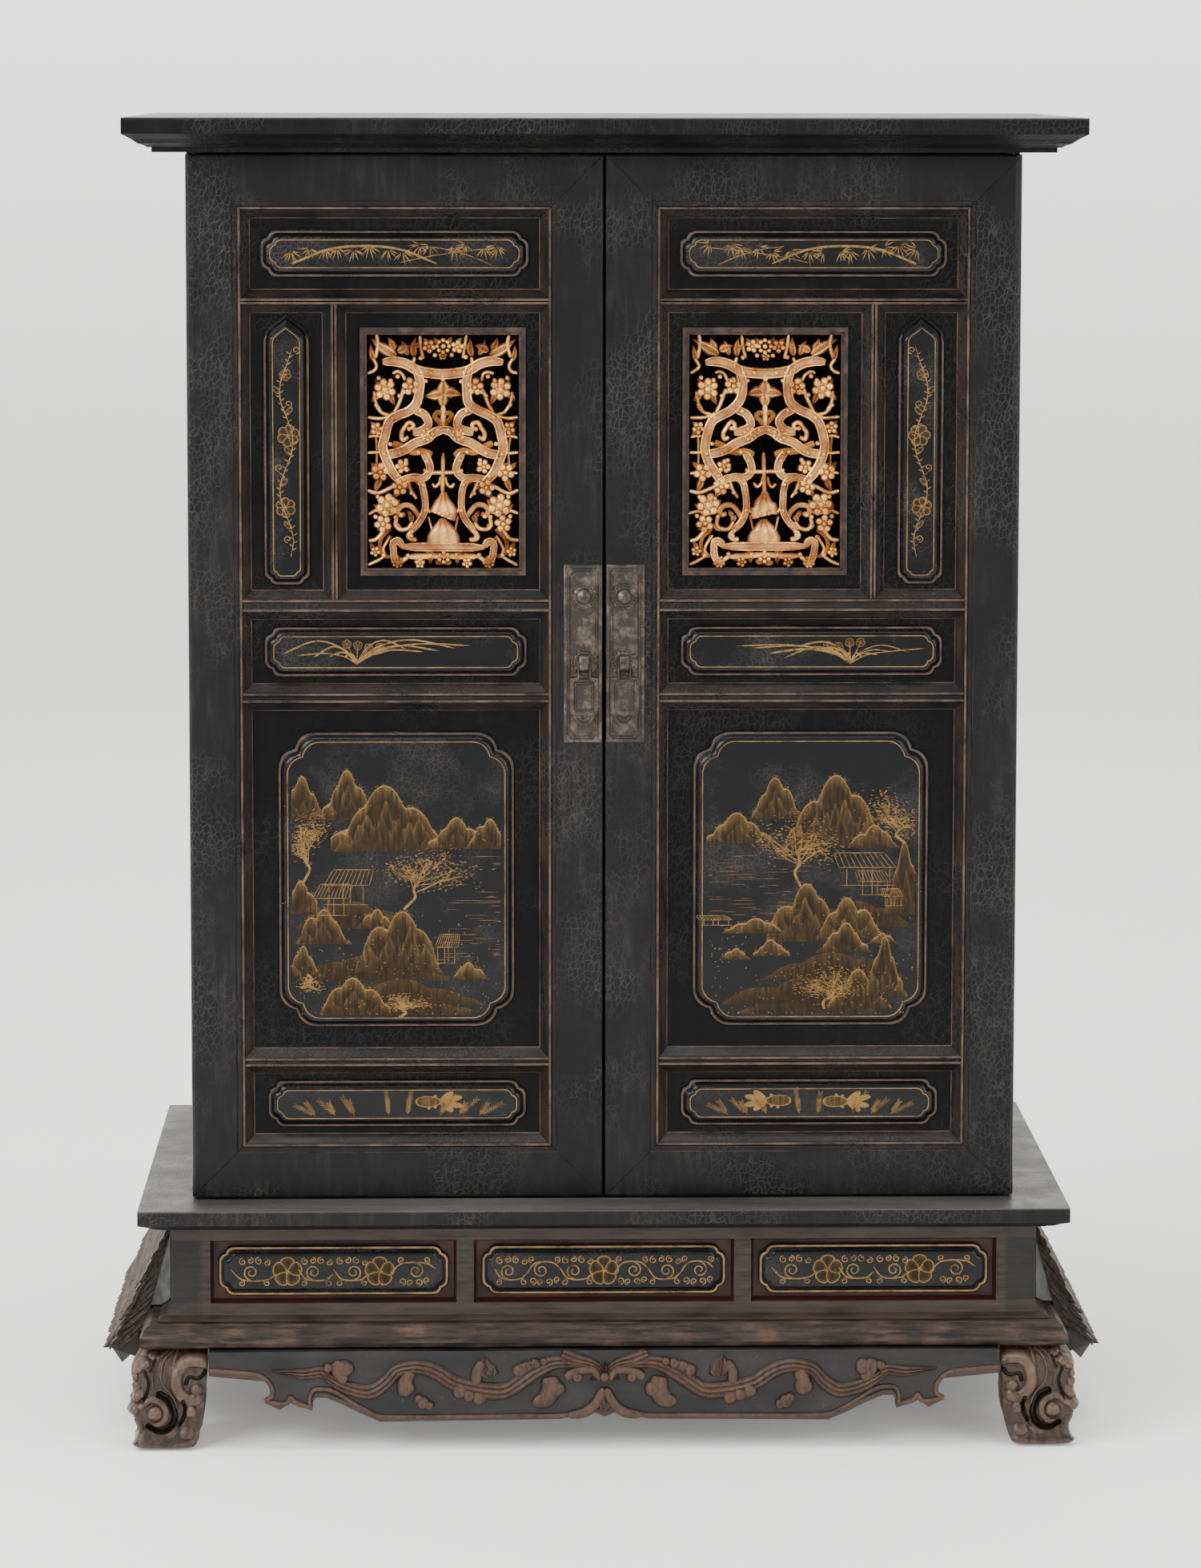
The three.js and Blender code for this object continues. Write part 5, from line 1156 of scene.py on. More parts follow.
def openwork_shells(shake):
    """Every stroke, leaf, flower and bead of the carving, each point moved a little as by hand."""
    def hand(points):
        points = np.asarray(points, float)
        return points + shake.normal(0, OPENWORK_SHAKE, points.shape) + PIERCED_PANEL

    def cut_stroke(points, width, section, rise, taper):
        return stroke(hand(points), width, rise, OPENWORK_GROUND, cut_through(section, rise), taper=taper)
    shells = [cut_stroke(points, width * OPENWORK_FULLNESS, section, rise, (0.5, 0.5))
              for points, width, section, rise in WHOLE_BANDS]
    shells += [cut_stroke(points, widths, RIBBED, rise, (1, 1)) for points, widths, rise in WHOLE_BODIES]
    for x, z, radius, petals in WHOLE_FLOWERS:
        shells += flower(hand((x, z)), radius, 5.4, OPENWORK_GROUND, petals, math.pi / 2)
    for side in (1, -1):
        way = np.array((side, 1))
        shells += [cut_stroke(np.array(points) * way, width * OPENWORK_FULLNESS, section, rise, (0.75, 0.75))
                   for points, width, section, rise in HALF_BANDS]
        for x, z, radius, petals in HALF_FLOWERS:
            turn = shake.uniform(0, 2 * math.pi)
            middle = hand((x * side, z))
            shells += flower(middle, radius * OPENWORK_FULLNESS, 5.2, OPENWORK_GROUND, petals, turn)
            shells.append(boss(middle, radius * 0.72, 3.0, OPENWORK_GROUND, BEAD, lobes=petals, depth=0.12,
                               sides=16, turn=turn, sink=1.0))
        shells += [boss(hand(place * way), OPENWORK_BEAD, 5.6, OPENWORK_GROUND, BEAD, sides=10, sink=0.5)
                   for place in np.array(HALF_BEADS)]
        for start, end, width in HALF_LEAVES:
            ends = (hand(np.array(start) * way), hand(np.array(end) * way))
            shells.append(leaf(*ends, width, 4.8, OPENWORK_GROUND, 0.1 * shake.uniform(-1, 1),
                               cut_through(VEINED, 4.8), fullness=0.6))
    return shells


class SHRINE_OT_openwork(bpy.types.Operator):
    """Gilded pierced carving of both leaves with its border and board"""
    bl_idname = "shrine.openwork"
    bl_label = "Gilded openwork"

    def execute(self, context):
        gold = gold_leaf("gold leaf over red-brown bole", DOOR_FACE + 7.2, DOOR_FACE + 12.6)
        border = worn_wood("worn frame of the openwork", "#35271f", "#1e1612", "#4d3a2e",
                           along=(0.3, 1.0, 0.3), grain=0.0025, patch=0.02)
        # The pierced board is a half-dark copy of the lacquer: painted shade behind the openwork.
        lacquer = black_lacquer("black lacquer, pierced panel", wear=0.4, painted_shade_level=0.5)
        lip = np.add(PIERCED_WINDOW, BORDER_LIP)
        board = window_shell(PIERCED_PANEL, PIERCED_BOARD, PIERCED_BORDER, PANEL_GROUND, 16)
        ring = window_shell(PIERCED_PANEL, PIERCED_BORDER, lip, 7.5, 16)
        inner = window_shell(PIERCED_PANEL, lip, PIERCED_WINDOW, 8.6, 15.6)
        for side, seed in zip(SIDES, OPENWORK_SEEDS):
            make_piece(f"{side}_pierced_board", [board], lacquer, f"{side}_door", side,
                       replaces=(f"{side}_door_pierced_panel",))
            make_piece(f"{side}_pierced_border", [ring, inner], border, f"{side}_door", side)
            make_piece(f"{side}_openwork", openwork_shells(np.random.default_rng(seed)), gold,
                       f"{side}_door", side, crease=50)
        return {"FINISHED"}


# Fittings

# Half plate: left, right, foot and head in the leaf, and the depths of its back and front
PLATE = (307, 338, 379, 525)
PLATE_BACK = -0.3
PLATE_FRONT = -1.5
# Rings of the plate from the rim inwards: inset, notch in the corners, share of the thickness
PLATE_RINGS = ((0, 0.3, 0), (0, 0.3, 0.8), (0.35, 0.3, 1), (2.6, 2.2, 1), (2.9, 2.4, 0.55),
               (3.3, 2.7, 0.55), (3.6, 2.9, 1), (4.6, 3.6, 1), (4.9, 3.8, 0.55), (5.3, 4.1, 0.55),
               (5.6, 4.3, 1), (8, 5, 1))
# The fittings' middle line, their heights, and radius and rise of each boss on the plate
FITTING_X = 323.5
STUD_Z = 499
PIN_Z = 445
STRIKE_Z = 401
ROSETTE_SIZE = (11, 1.4)
STUD_SIZE = (6.5, 5)
STRIKE_SIZE = (9, 1.1)
# Pin of the pull: its depth and radius, and the drop from it to the pull's shoulder and foot
PIN_Y = -5.4
PIN_RADIUS = 1.2
PULL_SHOULDER = 12.6
PULL_FOOT = 43.0
# Profiles of the stud, the rosettes and the strike: share of the radius, share of the rise
NIPPLE = ((1, 0), (0.97, 0.35), (0.84, 0.66), (0.6, 0.84), (0.36, 0.92), (0.28, 1.0), (0.22, 1.14),
          (0.1, 1.2))
ROSETTE = ((1, 0), (0.97, 0.6), (0.9, 0.75), (0.84, 0.5), (0.78, 0.55), (0.72, 1.0), (0.5, 1.05),
           (0.3, 0.9))
KEYHOLE = ((1, 0), (0.95, 0.8), (0.86, 1.0), (0.66, 1.0), (0.6, 0.5), (0.3, 0.5), (0.24, 0.05))
# Outline of the strap, depth and height from the pin: down its outside and up its inside
STRAP = ((-3.2, 6.4), (-4.6, 6.2), (-6.6, 5.2), (-8.2, 3.2), (-9.0, 0.6), (-8.8, -2.4), (-7.4, -5.0),
         (-5.4, -6.8), (-3.2, -8.0), (-3.2, -6.3), (-5.0, -5.2), (-6.4, -3.6), (-7.3, -1.8), (-7.5, 0.4),
         (-7.0, 2.4), (-5.8, 3.9), (-4.4, 4.7), (-3.2, 4.9))


def notched(x0, x1, z0, z1, notch, steps=5):
    """Outline of a rectangle whose corners are cut in by quarter circles of radius `notch`."""
    turn = np.linspace(0, math.pi / 2, steps)
    cos, sin = np.cos(turn), np.sin(turn)
    corners = (((x1, z1), (-1, 0), (0, -1)), ((x1, z0), (0, 1), (-1, 0)),
               ((x0, z0), (1, 0), (0, 1)), ((x0, z1), (0, -1), (1, 0)))
    return np.vstack([np.array(place) + notch * (np.outer(cos, first) + np.outer(sin, last))
                      for place, first, last in corners])


def plate_shell():
    """The half plate, with two incised lines that follow its edge."""
    x0, x1, z0, z1 = PLATE
    return tube_shell([upright(notched(x0 + inset, x1 - inset, z0 + inset, z1 - inset, notch),
                               PLATE_BACK + (PLATE_FRONT - PLATE_BACK) * share)
                       for inset, notch, share in PLATE_RINGS])


def beaded_rosette(z):
    """A lobed rosette with a row of beads on its edge, a bead for each lobe."""
    radius, rise = ROSETTE_SIZE
    places = [(FITTING_X, z) + 0.9 * radius * toward(angle) for angle in circle(16)]
    return [boss((FITTING_X, z), radius, rise, PLATE_FRONT, ROSETTE, lobes=16, depth=0.03, sides=64),
            *(boss(place, 0.13 * radius, rise * 1.25, PLATE_FRONT, sides=8) for place in places)]


def rod_shell(x0, x1, y, z, radius, sides=14):
    """A round bar along x with slightly eased ends."""
    angle = circle(sides)
    ends = ((x0, 0.8 * radius), (x0 + 0.3, radius), (x1 - 0.3, radius), (x1, 0.8 * radius))
    return tube_shell([np.stack([np.full(sides, x), y + r * np.cos(angle), z + r * np.sin(angle)], axis=1)
                       for x, r in ends])


def strap_shell():
    """Strap over the crossbar: its outline carried across, drawn in a little at both side faces.

    A side face joins the outer half of the outline to the inner half, point by point.
    """
    outline = np.array(STRAP)
    columns = len(outline)
    y, z = outline[:, 0], PIN_Z + outline[:, 1]
    rings = np.array([np.column_stack([np.full(columns, FITTING_X + x), y, z])
                      for x in (-3.8, -3.5, 3.5, 3.8)])
    rings[[0, 3], :, 1] = rings[[0, 3], :, 1] * 0.94 - 0.3
    k = np.arange(columns // 2 - 1)
    face = np.stack([k, k + 1, columns - 2 - k, columns - 1 - k], axis=1)
    quads = np.vstack([grid_faces(4, columns), face[:, ::-1], face + 3 * columns])
    return outward(rings.reshape(-1, 3), quads)


def pull_shells():
    """The flat pull: a frame with thick rims, a thin sunk web with a line of its own, and its crossbar."""
    back, top = PIN_Y + PIN_RADIUS, PIN_Z + PIN_RADIUS
    shoulder, foot = PIN_Z - PULL_SHOULDER, PIN_Z - PULL_FOOT
    rim = ((4.85, top), (4.85, shoulder + 0.4), (5.6, shoulder - 1.0), (9.2, shoulder - 1.7),
           (9.9, shoulder - 3.0), (9.9, foot + 5.0), (9.2, foot + 2.4), (6.5, foot + 1.7))
    line = np.array(rim) * (-1, 1) + (FITTING_X, 0)
    other = line * (-1, 1) + (2 * FITTING_X, 0)
    widths = [0.75, 0.9, 1.4, 1.7, 1.7, 1.7, 1.8, 1.8]
    section = ((-1, -1), (-1, 0.55), (-0.6, 1), (0.6, 1), (1, 0.55), (1, -1))
    shells = [rod_shell(FITTING_X - 5.0, FITTING_X + 5.0, PIN_Y, PIN_Z, PIN_RADIUS),
              stroke(np.vstack([line, other[::-1]]), widths + widths[::-1], PIN_RADIUS, PIN_Y, section,
                     count=90, taper=(1, 1)),
              box_shell(FITTING_X - 9.4, FITTING_X + 9.4, back - 1.1, back - 0.1, foot + 1.4,
                        shoulder - 1.4)]
    for inset in (3.6, 5.4):
        half = 11.5 - inset
        loop = [(FITTING_X - half, foot + inset), (FITTING_X + half, foot + inset),
                (FITTING_X + half, shoulder - inset), (FITTING_X - half, shoulder - inset),
                (FITTING_X - half, foot + inset)]
        for start, end in zip(loop, loop[1:]):
            shells.append(stroke([start, end], 0.28, 0.35, back - 1.1, KEEL, count=2, taper=(1, 1)))
    return shells


class SHRINE_OT_fittings(bpy.types.Operator):
    """Half plates, studs, straps and swinging pulls of dark bronze"""
    bl_idname = "shrine.fittings"
    bl_label = "Bronze fittings"

    def execute(self, context):
        bronze = dark_bronze("dark bronze")
        for side in SIDES:
            plate = [plate_shell(), *beaded_rosette(STUD_Z), *beaded_rosette(PIN_Z),
                     boss((FITTING_X, STUD_Z), *STUD_SIZE, PLATE_FRONT, NIPPLE, sides=28),
                     boss((FITTING_X, STRIKE_Z), *STRIKE_SIZE, PLATE_FRONT, KEYHOLE, 12, 0.02, 48)]
            make_piece(f"{side}_plate", plate, bronze, f"{side}_door", side,
                       replaces=(f"{side}_door_handle_plate",))
            make_piece(f"{side}_strap", [strap_shell()], bronze, f"{side}_door", side,
                       replaces=(f"{side}_door_staple",))
            make_piece(f"{side}_swinging_pull", pull_shells(), bronze, f"{side}_pull", side,
                       replaces=(f"{side}_door_pull",))
        return {"FINISHED"}


# Apron vine

# Millimetres from the middle of the apron and from its upper edge; half widths go with the points
VINE_BANDS = (
    (((-273.3, -15.8), (-258.8, -17.5), (-246.0, -18.7), (-233.2, -17.0), (-226.4, -20.0)),
     (0.3, 1.7, 3.0, 3.2, 3.4), RIBBED),
    (((-233.2, -17.0), (-222.6, -24.3), (-209.8, -30.7), (-192.8, -33.9), (-180.0, -26.4),
      (-169.8, -15.8), (-152.3, -13.2), (-137.4, -17.9), (-124.6, -26.4), (-107.6, -31.7),
      (-84.1, -33.9), (-71.4, -27.3), (-58.6, -17.9), (-43.7, -10.7), (-30.9, -9.8), (-16.0, -11.5),
      (-4.3, -17.5)),
     (2.6, 3.6, 3.8, 4.3, 3.8, 3.6, 4.0, 4.3, 4.3, 4.7, 4.7, 4.3, 4.7, 4.3, 3.4, 3.0, 2.6), RIBBED),
    (((-213.0, -24.9), (-218.3, -18.5), (-220.0, -12.8), (-215.1, -9.8)), (3.4, 3.4, 3.4, 2.6), ROUND),
    (((-158.7, -17.0), (-162.9, -23.9), (-163.8, -31.3)), (3.4, 3.8, 5.1), ROUND),
    (((-105.4, -27.1), (-105.0, -17.5), (-100.1, -8.9)), (3.0, 3.0, 2.6), ROUND),
    (((-45.4, -21.7), (-44.1, -32.4), (-49.6, -40.9), (-59.0, -42.6)), (4.7, 5.5, 5.1, 2.6), ROUND),
    (((-35.6, -3.0), (-24.5, -8.1), (-11.7, -10.7), (-2.8, -15.8)), (3.8, 4.3, 3.0, 2.1), RIBBED),
    (((-31.9, -22.2), (-22.4, -17.0), (-9.6, -15.8), (-4.5, -23.9)), (3.0, 2.6, 2.6, 2.1), ROUND),
    (((-29.8, -54.1), (-16.0, -51.5), (-6.4, -43.0), (-1.1, -31.5)), (2.1, 2.8, 2.8, 2.6), ROUND),
    (((-75.6, -17.5), (-66.0, -14.3), (-54.3, -10.7)), (2.6, 3.4, 2.6), RIBBED),
)
VINE_BEADS = ((-213.0, -14.1, 6.0), (-163.4, -30.7, 6.4), (-119.3, -33.7, 5.1), (-111.4, -37.1, 4.7),
              (-102.9, -39.2, 5.1), (-70.3, -16.6, 4.5), (-64.3, -13.2, 4.0), (-57.1, -10.7, 3.8),
              (-39.0, -31.9, 5.5), (-149.1, -43.0, 4.7), (-152.3, -39.8, 3.4), (-144.2, -45.2, 3.4),
              (-22.4, -22.2, 3.8), (-50.1, -8.9, 3.0), (-226.8, -13.2, 3.4))
VINE_LEAVES = (((-95.2, -22.2), (-98.2, -4.3), 6.0), ((0.0, -35.6), (3.2, -53.7), 4.7),
               ((-92.7, -21.7), (-91.0, -11.1), 3.8))
VINE_RISE = 3.8
VINE_FULLNESS = 1.6  # times the half widths and radii in the tables
APRON_BEAD = (2.1, 2.0)  # half width and height of the bead along the lower edge
# That edge, from the foot through two tips and the cusp between them to the middle
APRON_EDGE = (
    ((-325, -15), (-303, -17), (-286, -19), (-278, -23), (-273, -30), (-273, -37), (-279, -41)),
    ((-279, -41), (-269, -43), (-261, -43), (-258, -37)),
    ((-258, -37), (-253, -43), (-242, -46)),
    ((-242, -46), (-242, -38), (-239, -32), (-232, -31), (-222, -33), (-208, -42), (-194, -50),
     (-182, -54.5), (-137, -55), (-73, -54.5), (-31, -54), (-18, -51), (-9, -44), (-1, -33)),
)
VINE_RAYS = 9


def vine_shells():
    """Both halves of the vine, its leaves and berries, and the ribbed shell in the middle."""
    shells = []
    for side in (1, -1):
        def placed(points):
            return np.array(points) * (side, 1) + (0, APRON_TOP)
        for points, widths, section in VINE_BANDS:
            shells.append(stroke(placed(points), np.array(widths) * VINE_FULLNESS, VINE_RISE, APRON_FACE,
                                 section, count=min(64, 6 * len(points)), taper=(0.7, 0.4)))
        for x, z, radius in VINE_BEADS:
            middle = placed((x, z))
            shells.append(boss(middle, radius * 1.25, VINE_RISE * 1.15, APRON_FACE, lobes=3, depth=0.05))
            shells.append(boss(middle, radius * 0.3, VINE_RISE * 1.35, APRON_FACE, sides=8))
        shells += [leaf(placed(start), placed(end), width * VINE_FULLNESS, VINE_RISE, APRON_FACE, 0.08)
                   for start, end, width in VINE_LEAVES]
        shells += [stroke(placed(points), *APRON_BEAD, APRON_FACE, count=6 * len(points), taper=(0.8, 0.8))
                   for points in APRON_EDGE]
    hub = np.array((0.0, APRON_TOP - 22.0))
    for angle in np.linspace(math.radians(-10), math.radians(190), VINE_RAYS):
        tip = hub + 12.5 * toward(angle)
        shells.append(leaf(hub, tip, 2.6, VINE_RISE * 1.1, APRON_FACE, count=8, fullness=1.5))
    shells.append(boss(hub, 4.4, VINE_RISE * 1.3, APRON_FACE, lobes=6, depth=0.05, sides=20))
    return shells


class SHRINE_OT_apron(bpy.types.Operator):
    """Carved vine on the front apron"""
    bl_idname = "shrine.apron"
    bl_label = "Apron vine"

    def execute(self, context):
        # The finish paints shade at the foot of each stroke, leaf and boss, where the share in the uv map is
        # low.
        rubbed = carved_wood("rubbed carved wood of the apron", "#3a2920", "#523b2d", "#17100d", 0.0035,
                             (0.45, 0.65))
        make_piece("apron_vine", vine_shells(), rubbed, crease=55)
        return {"FINISHED"}


# Carved feet

# The foot's top, its outer corner across and to the front, how far its core lies behind its carving,
# and how far its edges are rounded at the outer corner and at the inner end
FOOT_HEIGHT = 83.0
FOOT_OUTER = 393.0
FOOT_FRONT = -225.5
FOOT_CORE = 5.5
FOOT_ROUNDING = (7.0, 3.0)
# Places on the front left foot as seen from the front: millimetres up, and in from the outer corner
FOOT_OUTER_EDGE = ((0, 13.0), (2, 4.5), (6, 1.2), (9, 3.2), (17, 6.2), (24, 3.4), (29, 0.6), (36, 0.4),
                   (42, 2.6), (48, 3.6), (56, 2.2), (63, 2.4), (69, 4.4), (75, 8.4), (79, 12.6),
                   (83, 20.0))
FOOT_INNER_EDGE = ((0, 50.0), (1.5, 54.5), (5, 57.6), (10, 59.8), (16, 60.4), (20, 62.4), (29, 64.0),
                   (39, 64.4), (48, 64.2), (54, 65.6), (63, 66.2), (70, 66.8), (83, 66.8))
# Leaf lobes and balls: middle in from the corner and up, radius across and up, height
FOOT_BOSSES = ((23, 78, 4.4, 3.6, 3.6), (15, 72.5, 5.6, 4.6, 4.2), (9.5, 69, 5.0, 4.4, 4.0),
               (6.4, 62, 4.0, 4.6, 3.8), (8, 54, 4.4, 4.8, 3.6), (8.6, 45.5, 4.6, 4.6, 3.6),
               (12, 48, 3.6, 4.2, 2.8), (6, 36, 5.6, 5.2, 3.6), (57.8, 51.6, 5.4, 5.4, 5.2),
               (53.5, 33.8, 5.4, 5.2, 4.6), (24, 32, 6.4, 6.4, 4.6), (24, 32, 2.6, 2.6, 6.6),
               (36, 14, 6, 4.4, 2.2), (50, 14, 7, 5, 2.4), (9.5, 20, 5, 7, 2.4))
# Raised or cut strokes: half width, height, points
FOOT_STROKES = (
    (1.1, 2.4, ((39, 82), (33, 77), (30, 71), (29, 63), (31, 55), (36, 49), (40, 43), (42, 37))),
    (1.2, 2.2, ((42, 82), (40, 75), (38.6, 68), (38.6, 60))),
    (1.0, 1.8, ((35, 82), (28, 77), (24, 70), (22, 62), (23, 54))),
    (5.2, 4.6,
     ((67, 73), (58, 75), (48.6, 73.5), (43, 66.5), (41.6, 56.5), (44.8, 48), (51.6, 42.6), (59, 44))),
    (3.0, 3.0,
     ((11.7, 37.5), (20.9, 43), (29, 40.6), (33.2, 34.5), (32, 26.5), (26.5, 21.5), (19.7, 21))),
    (2.9, -6.5, ((28, 47), (35.7, 42), (40, 32.6), (38.7, 23.4), (33.2, 17.2), (25.8, 16.6), (19, 20.3))),
    (1.8, -4.0, ((47.3, 42), (49, 36), (47.5, 29), (44, 22))),
    (1.2, -2.6, ((16, 66), (19, 58), (18, 50), (14, 41))),
    (1.2, -2.2, ((26, 80), (24, 74), (21, 66))),
    (1.6, -3.0, ((66, 66), (60, 60.5), (52, 61.5), (49.5, 56))),
    (1.1, 1.8, ((46, 40), (47, 33), (45, 25), (40, 17), (33, 11.5))),
    (2.2, 2.0, ((4, 5), (20, 3.5), (36, 3.2), (52, 4.2))),
)
FOOT_GRID = (150, 112)
FEET = {"foot_front_left": (-1, -1), "foot_front_right": (1, -1), "foot_back_left": (-1, 1),
        "foot_back_right": (1, 1)}


def foot_relief(across, up):
    """Height of the carving over the plain foot, in millimetres, at places on one of its faces.

    A boss is an ellipse whose height falls with the root of one less the squared reach. A stroke
    is the same profile across the distance from a smooth line. The larger of two heights counts,
    and cut strokes are taken off at the end.
    """
    high = np.zeros_like(across)
    for x, z, wide, tall, height in FOOT_BOSSES:
        reach = ((across - x) / wide) ** 2 + ((up - z) / tall) ** 2
        high = np.maximum(high, height * np.sqrt(np.clip(1 - reach, 0, 1)))
    cut = np.zeros_like(across)
    for half, height, points in FOOT_STROKES:
        path = smooth_path(points, 40)
        gap = np.full(across.shape, np.inf)
        for a, b in zip(path, path[1:]):
            step = b - a
            x, z = across - a[0], up - a[1]
            share = np.clip((x * step[0] + z * step[1]) / (step @ step + 1e-9), 0, 1)
            gap = np.minimum(gap, np.hypot(x - share * step[0], z - share * step[1]))
        profile = np.sqrt(np.clip(1 - (gap / half) ** 2, 0, 1))
        if height > 0:
            high = np.maximum(high, height * profile)
        else:
            cut = np.minimum(cut, height * profile)
    return high + cut


def foot_shell(side, end):
    """One foot: rings of a rounded square whose outer faces follow the edge tables and the relief.

    Every ring runs round the square by angle. On the two outer faces a point lies at its distance
    from the outer corner, pushed out by the relief less the depth that the leaf carving is let in.
    """
    rows, columns = FOOT_GRID
    up = np.linspace(0, 1, rows) * FOOT_HEIGHT
    low = np.interp(up, *np.array(FOOT_OUTER_EDGE).T)
    high = np.interp(up, *np.array(FOOT_INNER_EDGE).T)
    share = np.linspace(0, 1, columns)
    along = low[:, None] + (high - low)[:, None] * share[None, :]
    lift = up[:, None] * np.ones((1, columns))
    relief = foot_relief(along, lift) - FOOT_CORE
    near, far = 1 - np.clip(share * 5, 0, 1), 1 - np.clip((1 - share) * 6, 0, 1)
    rounding = FOOT_ROUNDING[0] * near ** 2 + FOOT_ROUNDING[1] * far ** 2
    depth = np.maximum(low[:, None] - relief - FOOT_CORE * 0.15 + rounding[None, :], 0.2)
    reach = np.maximum(along, depth)
    x = np.concatenate([depth[:, ::-1], reach, high[:, None] - 1.0], axis=1)
    y = np.concatenate([reach[:, ::-1], depth, high[:, None] - 2.0], axis=1)
    z = np.broadcast_to(up[:, None], x.shape)
    points = np.stack([side * (FOOT_OUTER - x), end * (-FOOT_FRONT - y), z], axis=-1)
    # Cut strokes get low shares, which the finish paints dark as shade in the cuts.
    high = np.clip((relief + FOOT_CORE + 4.0) / 8.0, 0, 1)
    return tube_shell(points, np.concatenate([high[:, ::-1], high, high[:, :1] * 0 + 0.5], axis=1))


class SHRINE_OT_feet(bpy.types.Operator):
    """Four carved feet with leaf lobes, a knee scroll and a large volute"""
    bl_idname = "shrine.feet"
    bl_label = "Carved feet"

    def execute(self, context):
        carved = carved_wood("worn carved wood of the feet", "#3f3027", "#5e483b", "#1a1411", 0.004,
                             (0.24, 0.46), 0.3)
        for name, ways in FEET.items():
            make_piece(f"carved_{name}", [foot_shell(*ways)], carved, crease=70,
                       replaces=(name,))
        return {"FINISHED"}


# Carved wings

# Section of a wing in millimetres from the middle and above the floor: its slope from under the stand
# top down to its tip, and the corners behind it that follow waist, base moulding and apron
WING_TOP = np.array((360.0, 172.0))
WING_TIP = np.array((410.0, 69.0))
WING_SLOPE = WING_TIP - WING_TOP
WING_OFF = np.array((-WING_SLOPE[1], WING_SLOPE[0])) / np.linalg.norm(WING_SLOPE)
WING_BACK = ((401, 55), (389.5, 66), (389.5, 83), (383, 83), (383, 104), (368.5, 104.2), (362, 108),
             (359.2, 112.5), (358, 121), (358, 172))
WING_HALF = 143.5
# Courses from the top down: where they start and end along the slope as shares, and their rise
WING_COURSES = ((-0.02, 0.30, 4.0), (0.20, 0.56, 4.6), (0.44, 0.80, 5.2), (0.66, 1.06, 5.6))
BLADES_ON_END = 15


def wing_core(side):
    """Closed body of a wing: its section carried from front to back, darker towards its foot as painted
    shade.
    """
    section = np.vstack((WING_TOP, WING_TIP, WING_BACK))
    rings = [upright(section * (side, 1), y) for y in np.linspace(-WING_HALF, WING_HALF, 3)]
    # Low shares at the foot make the finish paint shade there.
    return tube_shell(rings, np.clip((section[:, 1] - 70) / 30, 0, 1))


def strand(side, middle, half, course, lean, shake):
    """One long feather of a course on the slope, its tip standing off the next course.

    Rows run down the slope and columns across. The surface rises with the way down, falls off
    to both edges, and has three fine ridges along its length.
    """
    start, end, rise = course
    t = np.linspace(0, 1, 12)[:, None]
    s = np.linspace(-1, 1, 13)[None, :]
    swell = np.sin(np.pi * np.clip(0.30 + 0.66 * t, 0, 1)) ** 0.5
    y = middle + lean * t + half * swell * s
    along = start + (end - start) * (t - 0.10 * s ** 2 * t) + shake * t
    lift = rise * (0.10 + 0.75 * t) * (1 - 0.5 * s ** 2) * (1 + 0.22 * np.cos(3.5 * np.pi * s)) - 0.6
    along, y, lift = np.broadcast_arrays(along, y, lift)
    under = WING_TOP + WING_SLOPE * along[..., None] - WING_OFF * 1.6
    over = under + WING_OFF * (lift[..., None] + 1.6)
    front, back = upright(over * (side, 1), y), upright(under * (side, 1), y)
    high = np.clip((1 - 0.5 * s ** 2) * (0.5 + 0.5 * np.cos(3.5 * np.pi * s)) * (0.4 + 0.6 * t), 0, 1)
    # The under side of each strand gets share 0, which the finish paints dark as shade under the strand.
    return tube_shell(np.concatenate([front, back[:, ::-1]], axis=1),
                      np.concatenate([high, high * 0], axis=1))


def end_blades(side, end, shake):
    """Pointed blades on a wing's end face, over a ground sheet that the finish paints dark as shade.

    They start along a line that draws in from the slope on the way down, and each runs outwards,
    the lower the flatter, to just past the slope.
    """
    def inset(share):
        return 1.5 + 22.0 * np.maximum(share, 0)
    share = np.array((0.0, 0.5, 1.0))[:, None]
    spine = WING_TOP + WING_SLOPE * share - WING_OFF * inset(share) / 2
    # The ground sheet has share near 0, which the finish paints dark as shade between the blades.
    shells = [stroke(spine * (side, 1), inset(share[:, 0]) / 2, 1.0, -WING_HALF - 0.4,
                     ((-1, -1), (-1, 0.01), (1, 0.01), (1, -1)), taper=(1, 1))]
    for layer, depth in enumerate((1.0, 0.55, 0.2)):
        spread = np.linspace(-0.2, 0.76, BLADES_ON_END) + 0.02 * layer
        for share in spread + shake.normal(0, 0.008, BLADES_ON_END):
            way = toward(-math.radians(58 - 26 * share + shake.normal(0, 3)))
            start = WING_TOP + WING_SLOPE * share - WING_OFF * inset(share) * depth
            length = min(30.0, (inset(share) * depth + shake.uniform(0.5, 2.0)) / max(0.2, way @ WING_OFF))
            path = (start, start + way * length * 0.5 + WING_OFF * 0.7, start + way * length)
            rise = np.array((2.0, 3.2, 2.2)) + layer
            shells.append(stroke(np.array(path) * (side, 1), (1.0, 1.9, 1.1), rise, -WING_HALF, VEINED,
                                 count=9, taper=(0.4, 0.1)))
    return shells if end < 0 else mirrored(shells, (1, -1, 1))


def wing_shells(side, per_course, shake):
    """Courses of strands set between those of the last course, and the blades on both end faces."""
    shells = end_blades(side, -1, shake) + end_blades(side, 1, shake)
    pitch = 2 * WING_HALF / per_course
    for number, course in enumerate(WING_COURSES):
        count = per_course - number % 2
        for k in range(count):
            middle = (k - (count - 1) / 2) * pitch + shake.normal(0, 0.6)
            lean, slip = shake.normal(0, 1.5), shake.normal(0, 0.02)
            shells.append(strand(side, middle, pitch * 0.6, course, lean, slip))
    return shells


# Side of the stand and seed of each wing
WINGS = {"left": (-1, 5), "right": (1, 8)}


